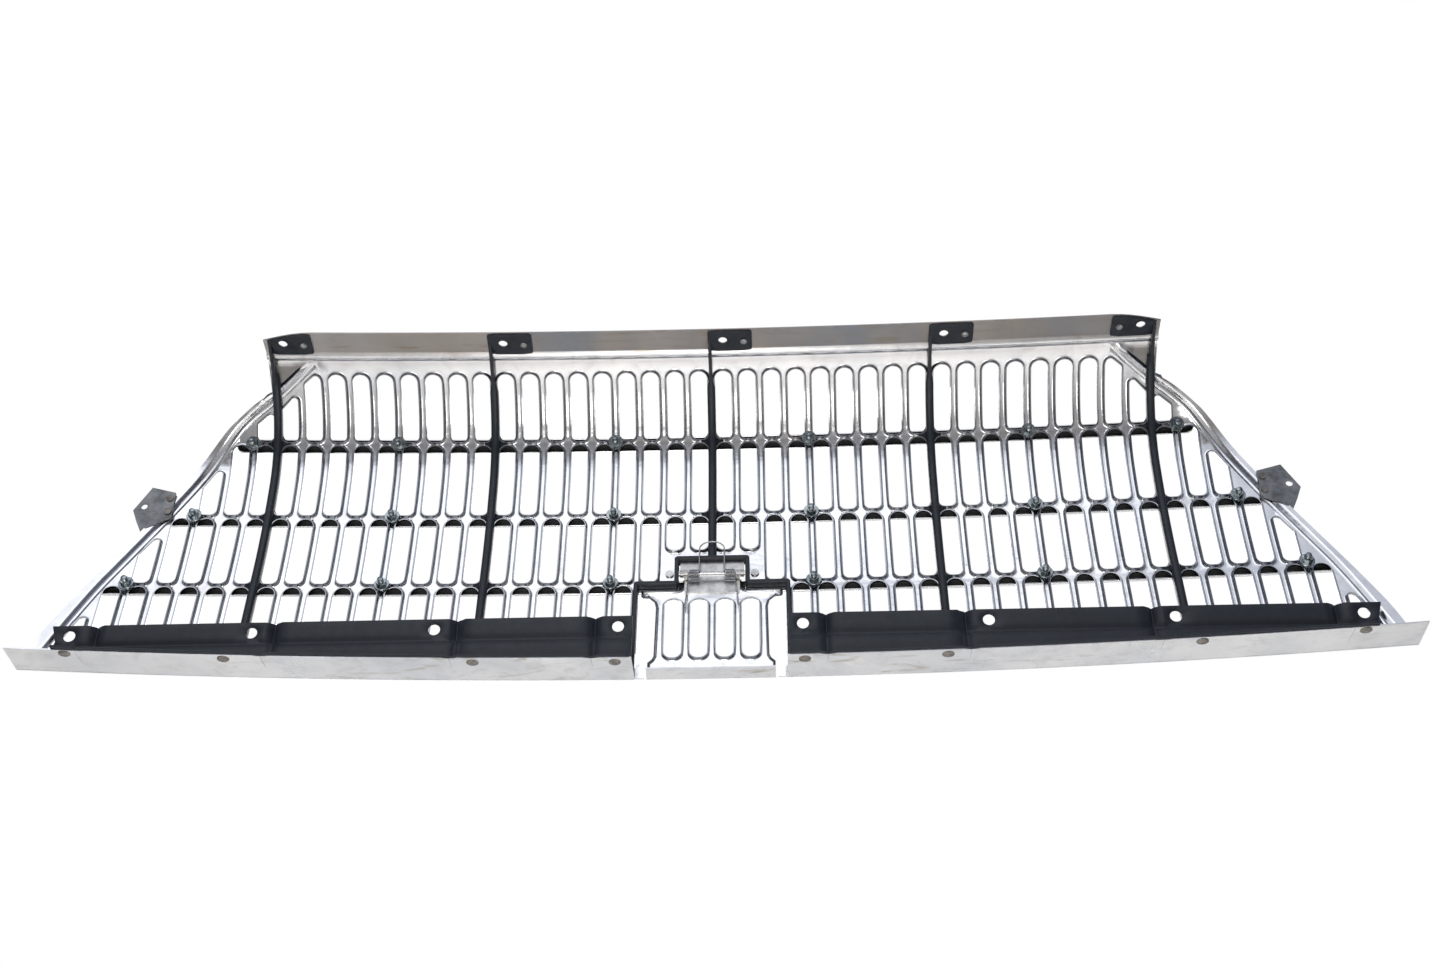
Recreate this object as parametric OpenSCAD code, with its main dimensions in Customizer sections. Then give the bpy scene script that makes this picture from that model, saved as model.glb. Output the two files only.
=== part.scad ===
// Front grille with a hinged, spring-closed starting-handle flap.
// Millimetres. +X lateral, +Y rearward into the car, +Z up.
// Origin: on the centre line, midway between the two inner bolt holes of the lower brackets.

/* [Panel] */
// Distance between neighbouring bars
pitch = 22.2; // [21.8:0.1:22.6]
// Thickness of the pressed sheet
sheet_t = 1.2; // [1:0.1:1.5]
// Radius of the crown, from the foremost line up to the top fold
crown_r = 114; // [110:1:120]
// Radius of the belly, from the foremost line down to the straight part
belly_r = 580; // [560:10:620]
// Rearward lean of the straight lower part, in degrees
lean = 10; // [9:0.5:11]
// Radius of the bow seen from above
bow_r = 8000; // [7500:100:9000]
// Radius of the upward arch of the bottom edge, seen from the front
arch_r = 17000; // [16000:500:30000]
// Length of the crown along the sheet, from the foremost line to the top fold
crown_len = 122; // [120:1:124]
// Length along the sheet from the foremost line to the bottom fold
skirt_len = 216; // [214:1:218]
// Width of the pierced slots
slot_w = 14.8; // [14:0.1:15.2]
// Depth of the bars' rearward lips, which the stud washers bear on
lip_h = 4; // [3:0.25:5]
// Corner radius at the slots' lower ends
slot_foot_r = 5.5; // [4:0.5:7]
// Half the width across the bottom fold
bottom_half = 584; // [582:1:588]
// Half the width across the top flange
top_half = 405; // [402:1:408]

/* [Flanges] */
// Depth of the top flange
top_flange = 32; // [30:1:34]
// Depth of the top flange at its two ends, where its rear corners are cut on the slant
flange_end_d = 23; // [22:0.5:25]
// Upward slope of the top flange, in degrees
top_slope = 11; // [9:1:13]
// Depth of the bottom flange
bottom_flange = 42; // [41:1:44]

/* [Braces] */
// Number of bars from one brace to the next
brace_step = 9; // [9:1:9]
// Width of a brace along the bar
brace_w = 6.8; // [6:0.2:7.2]
// Depth of a brace behind the sheet
brace_d = 7.5; // [6:0.5:8]
// Width of a brace's top tab
tab_w = 40; // [38:1:42]
// Depth of a brace's top tab
tab_d = 23; // [22:1:24]
// Radius of the bolt hole in a top tab
tab_hole_r = 4; // [3:0.5:4.5]

/* [Mouldings] */
// Height of a cross moulding
mould_h = 13; // [12.5:0.5:14]
// Wall of a cross moulding
mould_t = 1.2; // [1:0.1:1.5]
// Radius of the studs that hold the mouldings
stud_r = 2.5; // [2:0.1:3]
// Outer radius of the stud washers
washer_r = 6.8; // [6:0.1:7.4]

/* [Lower brackets] */
// Spacing of the bolt holes
bolt_step = 155; // [152:0.5:156]
// Radius of the bolt holes
bolt_r = 5; // [4.5:0.25:5.5]
// Thickness of the bracket steel
steel_t = 2; // [1.5:0.25:2.5]

/* [Flap] */
// Half the width of the flap opening
opening_half = 64; // [63.5:0.5:65]
// Radius of the hinge pin
pin_r = 1.6; // [1.5:0.1:2]
// Radial clearance between the pin and the flap's knuckles
pin_gap = 0.06; // [0.03:0.01:0.1]
// Wire radius of the flap's return spring
wire_r = 0.6; // [0.5:0.05:0.7]

/* [Hidden] */
$fn = 48;
eps = 0.01;
gap = 0.1;
sweep_fn = 1440;

// Upper and lower ends of the four rows of slots, along the sheet
row_top = [108, 39.3, -39.3, -116.5];
row_foot = [43, -34.6, -112, -195];
row_slots = [19, 22, 24, 25];
short_foot = -76.5;
// Crossbars between the rows, along the sheet
cross = [41, -37, -114.2];
// Outline of one side, as distance from the centre line and place along the sheet
side_line = [
    [bottom_half + 5, -236], [575, -177], [553, -131], [529, -85], [503, -40],
    [476, 5], [450, 50], [436, 65], [421, 79], [top_half, 89.5]
];
// Inner edge of the side rim: a slot never passes it
rim_line = [
    [567, -216], [534, -131], [510, -85], [484, -40], [457, 5], [432, 48],
    [418, 62.5], [396, 79], [373, 99], [357, 117]
];

belly_len = belly_r * lean * PI / 180;
brace_x = pitch * brace_step;
bolt_z = -173.5;
wall_y = 50;
flange_half = bottom_half - 4;
flange_z = profile(-skirt_len, 0)[1];
flange_y = profile(-skirt_len, 0)[0];
hinge_w = -6.5;
hinge_off = 8.5;
mould_half = [438, 493, 546];
mould_gap = 0.3;
// The mouldings hang a little below the crossbars
mould_drop = 1.5;
washer_off = sheet_t + lip_h + 0.1;
washer_t = 1.2;
nut_h = 4;
stud_k = [[4, 13, 19], [4, 13, 21], [4, 13, 23]];

// A point of the section at a place s along the sheet, off behind the front face
function profile(s, off) =
    s >= 0 ?
        let (a = s / crown_r * 180 / PI)
        [crown_r - (crown_r - off) * cos(a), (crown_r - off) * sin(a)]
    : s >= -belly_len ?
        let (a = -s / belly_r * 180 / PI)
        [belly_r - (belly_r - off) * cos(a), -(belly_r - off) * sin(a)]
    :
        let (d = -s - belly_len, p = profile(-belly_len, off))
        [p[0] + d * sin(lean), p[1] - d * cos(lean)];

// Tilt of the sheet at a place along it, in degrees, positive where it leans back going up
function tilt(s) =
    s >= 0 ? s / crown_r * 180 / PI : max(s / belly_r * 180 / PI, -lean);

function sagitta(x, r) = r - sqrt(r * r - x * x);
function bow(x) = sagitta(x, bow_r);

// Places along the sheet where its section has a corner, and the section between them
crown_steps = 7;
bends = concat(
    [-skirt_len, -belly_len, -belly_len / 2],
    [for (i = [0:crown_steps]) i * crown_len / crown_steps]
);
function sheet_stations(lo, hi) = concat([lo], [for (s = bends) if (s > lo && s < hi) s], [hi]);
function sheet_point(s, off) =
    let (
        a = max([for (b = bends) if (b <= s) b]),
        b = min([for (b = bends) if (b >= s) b]),
        t = b > a ? (s - a) / (b - a) : 0
    )
    (1 - t) * profile(a, off) + t * profile(b, off);

module in_place() {
    translate([0, -wall_y - steel_t / 2, -bolt_z]) children();
}

// Turns a section, drawn as (rearward, up), along the bow between two lateral places
module sweep(x1, x2) {
    a1 = asin(x1 / bow_r);
    a2 = asin(x2 / bow_r);
    translate([0, bow_r, 0])
        rotate([0, 0, -90 + a1])
            rotate_extrude(angle = a2 - a1, $fn = sweep_fn)
                translate([bow_r, 0])
                    mirror([1, 0])
                        children();
}

// The same along a straight line
module straight_sweep(x1, x2) {
    translate([x1, 0, 0]) rotate([90, 0, 90]) linear_extrude(x2 - x1) children();
}

module sheet_section(lo, hi, off, thick) {
    s = sheet_stations(lo, hi);
    n = len(s);
    polygon(concat(
        [for (i = [0:n - 1]) sheet_point(s[i], off)],
        [for (i = [n - 1:-1:0]) sheet_point(s[i], off + thick)]
    ));
}

// A flat outline, drawn as (lateral, up), cut through from front to back
module through(depth = 400) {
    translate([0, depth, 0]) rotate([90, 0, 0]) linear_extrude(2 * depth) children();
}

// Puts children at a place on the sheet: their +Y is the rearward normal
module on_sheet(x, s, off) {
    p = profile(s, off);
    translate([x, p[0] + bow(x), p[1]]) rotate([-tilt(s), 0, 0]) children();
}

// Frame of the straight lower part: z is zero where it begins, +Y is the rearward normal
module on_straight() {
    p = profile(-belly_len, 0);
    translate([0, p[0], p[1]]) rotate([lean, 0, 0]) children();
}

module slot_outline(lo, hi) {
    z1 = profile(lo, 0)[1];
    z2 = profile(hi, 0)[1];
    translate([0, z2 - slot_w / 2]) circle(slot_w / 2);
    translate([-slot_w / 2, z1 + slot_foot_r]) square([slot_w, z2 - z1 - slot_foot_r - slot_w / 2]);
    for (side = [-1, 1])
        translate([side * (slot_w / 2 - slot_foot_r), z1 + slot_foot_r]) circle(slot_foot_r);
    translate([-slot_w / 2 + slot_foot_r, z1]) square([slot_w - 2 * slot_foot_r, slot_foot_r + eps]);
}

module row_outlines(row) {
    for (i = [0:row_slots[row] - 1], side = [-1, 1]) {
        x = side * pitch * (i + 0.5);
        short = row == 2 && i < 2;
        if (!(row == 3 && i < 3))
            translate([x, 0]) slot_outline(short ? short_foot : row_foot[row], row_top[row]);
    }
}

function front_view(line) = [for (p = line) [p[0], profile(p[1], 0)[1]]];

function both_sides(half) = concat(
    half,
    [for (i = [len(half) - 1:-1:0]) [-half[i][0], half[i][1]]]
);

module panel_outline() {
    top = 125;
    intersection() {
        polygon(both_sides(concat(front_view(side_line), [[top_half, top]])));
        above_arch(0.3);
    }
}

// The arched lower edge, seen from the front, moved up by rise, and what lies above it
arch_end = 600;
arch_parts = 24;
function arch_line(rise) = [
    for (i = [-arch_parts / 2:arch_parts / 2])
        let (x = 2 * arch_end * i / arch_parts)
        [x, flange_z + rise + sagitta(x, arch_r)]
];

module above_arch(rise) {
    high = 200;
    polygon(concat(arch_line(rise), [[arch_end, high], [-arch_end, high]]));
}

module arch_strip(low, high) {
    upper = arch_line(high);
    through() polygon(concat(arch_line(low), [for (i = [arch_parts:-1:0]) upper[i]]));
}

module rim_outline() {
    polygon(both_sides(front_view(rim_line)));
}

module opening_outline() {
    neck = 29;
    square_top = profile(-120.5, 0)[1];
    neck_top = profile(-92, 0)[1];
    translate([-opening_half, flange_z - 20]) square([2 * opening_half, square_top - flange_z + 20]);
    translate([-neck, square_top - eps]) square([2 * neck, neck_top - square_top]);
}

module stud_places() {
    for (row = [0:2], k = stud_k[row], side = [-1, 1]) on_sheet(side * k * pitch, cross[row], 0) children();
}

module top_flange_section() {
    p = profile(crown_len, 0);
    translate(p) rotate(top_slope) translate([-0.4, 0]) square([top_flange + 0.4, sheet_t]);
}

// Tall enough for the arch; its front edge is inside the sheet
module bottom_flange_section() {
    tall = 16;
    front = flange_y + 0.4;
    polygon([
        [front, flange_z - 1], [flange_y + bottom_flange, flange_z - 1],
        [flange_y + bottom_flange, flange_z + tall], [front - tall * tan(lean), flange_z + tall]
    ]);
}

// Frame of the top flange at a lateral place: +Y rearward along it, +Z its upper normal
module on_top_flange(x) {
    p = profile(crown_len, 0);
    translate([x, p[0] + bow(x), p[1]]) rotate([top_slope, 0, 0]) children();
}

// Lateral places of the brace tabs' bolt holes and rivets, and their depth on the flange
function brace_at(i) = (2 - i) * brace_x;
function tab_dir(i) = i == 4 ? 1 : -1;
function hole_x(i) = brace_at(i) + tab_dir(i) * hole_along;
function rivet_x(i) = brace_at(i) + tab_dir(i) * rivet_along;
tab_mid = 19;
hole_along = 12;
rivet_along = 31;
rivet_r = 2.4;
rivet_hole_r = 2.5;
fin_half = 1.5;
// The tabs are flat and the flange is bowed, so a tab hangs this far below it
tab_gap = 0.35;

// Cuts the rear corners of the top flange, or of what lies on it, inset from that cut
module flange_corner_cut(inset) {
    cut_w = 45;
    beyond = top_flange + 5;
    cut_start = top_flange + bow(top_half - cut_w) - bow(top_half);
    for (side = [-1, 1])
        on_top_flange(side * top_half) translate([0, 0, -10]) linear_extrude(20) polygon([
            [side * 2, flange_end_d - inset], [side * 2, beyond],
            [-side * cut_w, beyond], [-side * cut_w, cut_start - inset]
        ]);
}

module grille_panel() {
    color("silver") difference() {
        union() {
            intersection() {
                union() {
                    sweep(-600, 600) sheet_section(-skirt_len, crown_len, 0, sheet_t);
                    sweep(-top_half, top_half) top_flange_section();
                }
                through() panel_outline();
            }
            intersection() {
                arch_strip(0, sheet_t);
                for (side = [-1, 1])
                    sweep(side < 0 ? -flange_half : opening_half, side < 0 ? -opening_half : flange_half)
                        bottom_flange_section();
            }
        }
        intersection() {
            through() union() for (row = [0:3]) row_outlines(row);
            through() rim_outline();
        }
        through() opening_outline();
        stud_places() rotate([90, 0, 0]) cylinder(h = 20, r = stud_r + 0.3, center = true);
        for (i = [0:4]) {
            on_top_flange(hole_x(i)) translate([0, tab_mid, -10]) cylinder(h = 20, r = tab_hole_r);
            on_top_flange(rivet_x(i)) translate([0, tab_mid, -10]) cylinder(h = 20, r = rivet_hole_r);
        }
        flange_corner_cut(0);
        bracket_rivet_places() translate([0, 0, -5]) cylinder(h = 10, r = rivet_hole_r);
    }
}

// One black pressed brace: a strip down the bar, a fin up to the flange and a bolted tab
module brace(i) {
    foot = i == 2 ? -86 : -200;
    x = brace_at(i);
    arm = 9.3;
    arm_half_h = 2;
    arm_t = 1.5;
    color("dimgray") difference() {
        union() {
            sweep(x - brace_w / 2, x + brace_w / 2) sheet_section(foot, row_top[0], sheet_t + gap, brace_d);
            for (row = [0:i == 2 ? 1 : 2])
                sweep(x - arm, x + arm)
                    sheet_section(cross[row] - arm_half_h, cross[row] + arm_half_h, sheet_t + gap, arm_t);
            sweep(x - fin_half, x + fin_half) brace_fin_section();
            tab_from = tab_dir(i) > 0 ? -fin_half : fin_half - tab_w;
            on_top_flange(x)
                translate([tab_from, tab_mid - tab_d / 2, -tab_gap - steel_t])
                    cube([tab_w, tab_d, steel_t]);
        }
        on_top_flange(hole_x(i)) translate([0, tab_mid, -10]) cylinder(h = 20, r = tab_hole_r);
        on_top_flange(rivet_x(i)) translate([0, tab_mid, -10]) cylinder(h = 20, r = rivet_hole_r);
        if (i == 0 || i == 4) flange_corner_cut(1);
    }
}

// The fin fills the corner between the crown's rear face and the tab
module brace_fin_section() {
    top = profile(crown_len, 0);
    low = 92;
    high = 112;
    behind = sheet_t + gap;
    c = cos(top_slope);
    s = sin(top_slope);
    drop = steel_t + tab_gap;
    polygon(concat(
        [for (q = [low, (low + high) / 2, high]) sheet_point(q, behind)],
        [
            [top[0] + (tab_mid - tab_d / 2) * c + drop * s, top[1] + (tab_mid - tab_d / 2) * s - drop * c],
            [top[0] + (tab_mid + 2) * c + drop * s, top[1] + (tab_mid + 2) * s - drop * c]
        ],
        [sheet_point(low, behind + brace_d)]
    ));
}

module brace_rivets() {
    head_r = 4;
    head_h = 1.4;
    low = -tab_gap - steel_t - 0.4;
    high = sheet_t + 0.1;
    color("dimgray") for (i = [0:4]) on_top_flange(rivet_x(i)) translate([0, tab_mid, 0]) {
        translate([0, 0, low - head_h]) cylinder(h = head_h, r = head_r);
        translate([0, 0, low - head_h / 2]) cylinder(h = high - low + head_h, r = rivet_r);
        translate([0, 0, high]) cylinder(h = head_h, r = head_r);
    }
}

// Rounded channel, open to the rear, drawn as (rearward, up) about its rear face
module moulding_section() {
    nose = mould_h / 2;
    difference() {
        intersection() {
            circle(nose, $fn = 64);
            translate([-nose, -nose]) square([nose, 2 * nose]);
        }
        circle(nose - mould_t, $fn = 64);
    }
}

module moulding(row) {
    s = cross[row] - mould_drop;
    color("gainsboro")
        sweep(-mould_half[row], mould_half[row])
            translate(profile(s, -mould_gap))
                rotate(-tilt(s))
                    moulding_section();
}

module moulding_studs() {
    back = sheet_t + lip_h + 7.5;
    inner_r = mould_h / 2 - mould_t;
    reach = sqrt(pow(inner_r, 2) - pow(stud_r + mould_drop, 2)) - 0.6;
    color("dimgray")
        stud_places()
            rotate([90, 0, 0])
                translate([0, 0, -back])
                    cylinder(h = back + mould_gap + reach, r = stud_r);
}

module stud_washers() {
    color("darkslategray") stud_places() rotate([-90, 0, 0]) translate([0, 0, washer_off]) difference() {
        cylinder(h = washer_t, r = washer_r);
        translate([0, 0, -1]) cylinder(h = 4, r = stud_r + 0.2);
    }
}

module stud_nuts() {
    nut_r = 4.6;
    nut_off = washer_off + washer_t + 0.05;
    color("darkslategray") stud_places() rotate([-90, 0, 0]) translate([0, 0, nut_off]) difference() {
        cylinder(h = nut_h, r = nut_r, $fn = 6);
        translate([0, 0, -1]) cylinder(h = nut_h + 2, r = stud_r + 0.05);
    }
}

bracket_rivet_x = [-530, -400, -195, -78, 78, 195, 400, 530];
rivet_y = 63.5;
bolt_x = [for (i = [0:3]) bolt_step * (i + 0.5)];
groove_x = [97, 213.5, 368.5, 520.5];
bracket_ends = [65.5, 558];
wall_up = 9.5;
wall_down = 10.4;

// Upright wall and sloping web, drawn as (rearward, up)
module bracket_section() {
    foot_z = flange_z;
    bend_z = bolt_z - wall_down;
    polygon([
        [wall_y, bolt_z + wall_up], [wall_y + steel_t, bolt_z + wall_up], [wall_y + steel_t, bend_z],
        [wall_y + 9, foot_z], [wall_y + 7, foot_z], [wall_y, bend_z]
    ]);
}

// The foot lies on the arched flange, from the web to a line that follows the flange's bow
module bracket_foot(x1, x2) {
    under = sheet_t + gap;
    intersection() {
        arch_strip(under, under + steel_t);
        sweep(x1, x2) translate([wall_y - 30, flange_z]) square([52, 20]);
        straight_sweep(x1 - 1, x2 + 1) translate([wall_y + 4.5, flange_z - 1]) square([60, 22]);
    }
}

module lower_bracket(side) {
    x1 = side < 0 ? -bracket_ends[1] : bracket_ends[0];
    x2 = side < 0 ? -bracket_ends[0] : bracket_ends[1];
    color("dimgray") difference() {
        union() {
            intersection() {
                straight_sweep(x1, x2) bracket_section();
                through() above_arch(sheet_t + gap);
            }
            bracket_foot(x1, x2);
        }
        for (x = bolt_x)
            translate([side * x, wall_y - 20, bolt_z]) rotate([-90, 0, 0]) cylinder(h = 80, r = bolt_r);
        for (x = groove_x)
            translate([side * x, wall_y - 20, bolt_z + wall_up + gap])
                rotate([-90, 0, 0])
                    linear_extrude(80)
                        polygon([[-7, -0.5], [7, -0.5], [0, 4.5]]);
        bracket_rivet_places() translate([0, 0, -5]) cylinder(h = 15, r = rivet_hole_r);
    }
}

module bracket_rivet_places() {
    for (x = bracket_rivet_x) translate([x, rivet_y + bow(x), flange_z + sagitta(x, arch_r)]) children();
}

module bracket_rivets() {
    head = 5;
    clear = 0.25;
    color("gray") bracket_rivet_places() {
        translate([0, 0, -clear - 1.2]) cylinder(h = 1.2, r = head);
        translate([0, 0, -clear - 0.5]) cylinder(h = steel_t + sheet_t + 1.5, r = rivet_r);
        translate([0, 0, steel_t + sheet_t + gap + clear]) cylinder(h = 1.5, r = 4.2);
    }
}

// Black stepped strap round the opening, behind the sheet
module flap_frame() {
    strap = 4;
    inner = opening_half + 0.3;
    outer = inner + strap;
    step_z = -118.5 + belly_len;
    neck_z = -90.5 + belly_len;
    low_z = -203 + belly_len;
    neck = 29.3;
    depth = 6.6;
    clear = 0.8;
    color("dimgray") on_straight() translate([0, sheet_t + clear, 0]) {
        for (side = [-1, 1]) {
            translate([side > 0 ? inner : -outer, 0, low_z]) cube([strap, depth, step_z - low_z + strap]);
            translate([side > 0 ? neck : -inner - eps, 0, step_z]) cube([inner - neck + eps, depth, strap]);
            translate([side > 0 ? neck : -neck - strap, 0, step_z + strap - eps])
                cube([strap, depth, neck_z - step_z - strap + 2 * eps]);
        }
        translate([-neck - strap, 0, neck_z]) cube([2 * neck + 2 * strap, depth, strap]);
    }
}

knuckle_r = 2.9;
ear_in = 24.6;
ear_out = 28;
knuckle_in = 21.4;

// Fixed leaf: a plate under the strap's top with two ears that hold the pin
module hinge_leaf() {
    leaf_off = 3.2;
    top_z = -91.4 + belly_len;
    plate_t = 1.2;
    color("silver") on_straight() difference() {
        union() {
            translate([-ear_out, leaf_off, hinge_w + knuckle_r + 0.8])
                cube([2 * ear_out, plate_t, top_z - hinge_w - knuckle_r - 0.8]);
            for (side = [-1, 1]) {
                translate([side > 0 ? ear_in : -ear_out, hinge_off, hinge_w])
                    rotate([0, 90, 0])
                        cylinder(h = ear_out - ear_in, r = knuckle_r);
                translate([side > 0 ? ear_in : -ear_out, leaf_off, hinge_w])
                    cube([ear_out - ear_in, hinge_off - leaf_off, knuckle_r + 1]);
            }
        }
        translate([-40, hinge_off, hinge_w]) rotate([0, 90, 0]) cylinder(h = 80, r = pin_r);
    }
}

module hinge_rivets() {
    color("gainsboro") on_straight() for (side = [-1, 1])
        translate([side * 37.5, 0, -1]) rotate([-90, 0, 0]) {
            translate([0, 0, sheet_t + 0.3]) cylinder(h = 1.4, r = 3.6);
            translate([0, 0, -1.5]) cylinder(h = 1.2, r = 3.6);
        }
}

module hinge_pin() {
    color("lightgray") on_straight() translate([0, hinge_off, hinge_w]) rotate([0, 90, 0]) {
        translate([0, 0, -ear_out - 0.5]) cylinder(h = 2 * ear_out + 1, r = pin_r);
        for (side = [-1, 1])
            translate([0, 0, side > 0 ? ear_out + 0.1 : -ear_out - 0.8]) cylinder(h = 0.7, r = 2.3);
    }
}

coil_mean = 3.1;
coil_in = 10.5;
coil_out = 20.6;
loop_top = 30;
leg_low = -34;
leg_r = 0.5;

// Double torsion spring: two coils on the pin, a loop up over the bars, two legs on the flap
module hinge_spring() {
    color("lightgray") on_straight() translate([0, hinge_off, hinge_w]) {
        for (side = [-1, 1]) {
            translate([side > 0 ? coil_in : -coil_out, 0, 0]) rotate([0, 90, 0]) difference() {
                cylinder(h = coil_out - coil_in, r = coil_mean + wire_r);
                translate([0, 0, -1]) cylinder(h = coil_out - coil_in + 2, r = coil_mean - wire_r);
            }
            translate([side * (coil_in + wire_r), coil_mean, 0]) cylinder(h = loop_top - coil_in, r = leg_r);
            translate([side * (coil_out - wire_r - 0.1), -coil_mean, leg_low])
                cylinder(h = -leg_low, r = leg_r);
        }
        translate([0, coil_mean, loop_top - coil_in]) rotate([90, 0, 0])
            rotate_extrude(angle = 180) translate([coil_in + wire_r, 0]) circle(leg_r);
    }
}

flap_wing_top = -121.3;
flap_half = 61.5;

// Pressed flap: a band at the foot with its own flange, five bars, a head band and wings
module flap() {
    foot = -skirt_len + belly_len;
    head = flap_wing_top + belly_len;
    slot_lo = row_foot[3] + belly_len;
    slot_hi = -131.5 + belly_len;
    body_half = 2 * pitch + 4;
    foot_half = 54;
    neck = 25.5;
    color("silver") on_straight() {
        difference() {
            union() {
                translate([-body_half, 0, foot]) cube([2 * body_half, sheet_t, head - foot]);
                translate([-foot_half, 0, foot]) cube([2 * foot_half, sheet_t, slot_lo - foot]);
                translate([-flap_half, 0, head - 7]) cube([2 * flap_half, sheet_t, 7]);
                translate([-neck, 0, head - eps]) cube([2 * neck, sheet_t, -3.5 - head + hinge_w]);
            }
            for (i = [-1.5:1:1.5]) translate([i * pitch, 0, 0]) {
                for (z = [slot_hi - slot_w / 2, slot_lo + slot_w / 2])
                    translate([0, 0, z]) rotate([90, 0, 0]) cylinder(h = 9, r = slot_w / 2, center = true);
                translate([-slot_w / 2, -3, slot_lo + slot_w / 2])
                    cube([slot_w, 9, slot_hi - slot_lo - slot_w]);
            }
        }
        translate([-foot_half, 0, foot])
            rotate([-lean, 0, 0])
                translate([0, 0.2, 0])
                    cube([2 * foot_half, 22, sheet_t]);
    }
}

// Moving leaf: a strap on the flap's neck, rolled round the pin outside the coils
module flap_leaf() {
    plate_t = 1.2;
    low = flap_wing_top + belly_len - 3;
    high = hinge_w + 2;
    neck = 24.2;
    color("silver") on_straight() difference() {
        union() {
            translate([-neck, sheet_t + 0.05, low]) cube([2 * neck, plate_t, high - low]);
            for (side = [-1, 1]) {
                x = side > 0 ? knuckle_in : -neck;
                translate([x, hinge_off, hinge_w])
                    rotate([0, 90, 0])
                        cylinder(h = neck - knuckle_in, r = knuckle_r);
                translate([x, sheet_t + 0.05, hinge_w - 6]) cube([neck - knuckle_in, plate_t, 4]);
                translate([x, sheet_t + 0.05, hinge_w - knuckle_r])
                    cube([neck - knuckle_in, hinge_off - sheet_t, 2.2]);
            }
        }
        translate([-40, hinge_off, hinge_w]) rotate([0, 90, 0]) cylinder(h = 80, r = pin_r + pin_gap);
    }
}

// Two folded stops on the ends of the bottom flange, in front of the flap's lower corners
module flap_stops() {
    low = -212.5 + belly_len;
    high = -198 + belly_len;
    tab_in = 56;
    front = -2.4;
    plate = 1.6;
    color("silver") on_straight() for (side = [-1, 1]) {
        translate([side > 0 ? tab_in : -opening_half, front, low])
            cube([opening_half - tab_in, plate, high - low]);
        translate([side > 0 ? opening_half - plate : -opening_half, front, low])
            cube([plate, 16, high - low]);
    }
}

side_hole = [512.5, -27];
side_stand = 1.9;
side_z = profile(side_hole[1], 0)[1];
side_y = profile(side_hole[1], 0)[0] + bow(side_hole[0]) + sheet_t + side_stand;
pad_t = 2.1;

// Flat tab outside the side rim, with a bolt hole and a pad that is riveted to the rim
module side_bracket(side) {
    color("gray") difference() {
        union() {
            translate([0, side_y + steel_t, 0]) rotate([90, 0, 0]) linear_extrude(steel_t) polygon([
                [side * 486, side_z - 12], [side * 486, side_z + 14], [side * 508, side_z + 20],
                [side * 522, side_z - 4], [side * 517, side_z - 16], [side * 512, side_z - 26]
            ]);
            translate([side > 0 ? 486 : -494, side_y - pad_t, side_z - 10]) cube([8, pad_t + 1, 22]);
        }
        translate([side * side_hole[0], side_y - 10, side_z]) rotate([-90, 0, 0]) cylinder(h = 20, r = 3);
        side_rivet_places(side) cylinder(h = 30, r = 2, center = true);
    }
}

module side_rivet_places(side) {
    for (dz = [-6, 8]) translate([side * 490, side_y, side_z + dz]) rotate([-90, 0, 0]) children();
}

module side_rivets() {
    color("gray") for (side = [-1, 1]) side_rivet_places(side) {
        translate([0, 0, steel_t + 0.05]) cylinder(h = 1.2, r = 3.2);
        translate([0, 0, -pad_t]) cylinder(h = steel_t + pad_t + 0.5, r = 1.9);
    }
}

in_place() grille_panel();
in_place() brace(2);  // brace_centre
in_place() brace(1);  // brace_inner_left
in_place() brace(3);  // brace_inner_right
in_place() brace(0);  // brace_outer_left
in_place() brace(4);  // brace_outer_right
in_place() brace_rivets();
in_place() moulding(0);  // moulding_upper
in_place() moulding(1);  // moulding_middle
in_place() moulding(2);  // moulding_lower
in_place() moulding_studs();
in_place() stud_washers();
in_place() stud_nuts();
in_place() lower_bracket(1);  // bracket_lower_left
in_place() lower_bracket(-1);  // bracket_lower_right
in_place() bracket_rivets();
in_place() flap_frame();
in_place() hinge_leaf();
in_place() hinge_rivets();
in_place() hinge_pin();
in_place() hinge_spring();
in_place() flap();
in_place() flap_leaf();
in_place() flap_stops();
in_place() side_bracket(1);  // side_bracket_left
in_place() side_bracket(-1);  // side_bracket_right
in_place() side_rivets();
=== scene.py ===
"""Looks of the car front grille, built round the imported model.

Lengths are millimetres until place() and row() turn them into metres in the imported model's frame.
A place on the pressed sheet is (x, s): x across the car, s along the sheet, zero on its foremost line.
"""

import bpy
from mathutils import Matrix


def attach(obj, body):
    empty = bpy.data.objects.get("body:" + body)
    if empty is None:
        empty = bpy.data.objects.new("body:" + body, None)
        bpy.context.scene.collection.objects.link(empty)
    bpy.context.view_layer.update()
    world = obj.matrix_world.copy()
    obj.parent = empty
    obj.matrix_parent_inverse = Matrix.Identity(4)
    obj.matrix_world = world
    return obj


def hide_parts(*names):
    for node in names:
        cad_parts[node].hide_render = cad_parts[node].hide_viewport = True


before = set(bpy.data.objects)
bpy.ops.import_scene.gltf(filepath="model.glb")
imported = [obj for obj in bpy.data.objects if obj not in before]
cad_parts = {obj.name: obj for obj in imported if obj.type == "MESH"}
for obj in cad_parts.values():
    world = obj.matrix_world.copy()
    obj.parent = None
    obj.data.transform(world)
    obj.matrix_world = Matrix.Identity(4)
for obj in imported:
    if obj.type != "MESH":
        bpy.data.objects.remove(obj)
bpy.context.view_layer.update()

import math
from functools import lru_cache

import bmesh
import bpy
from mathutils import Matrix, Vector
from mathutils.geometry import delaunay_2d_cdt

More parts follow.
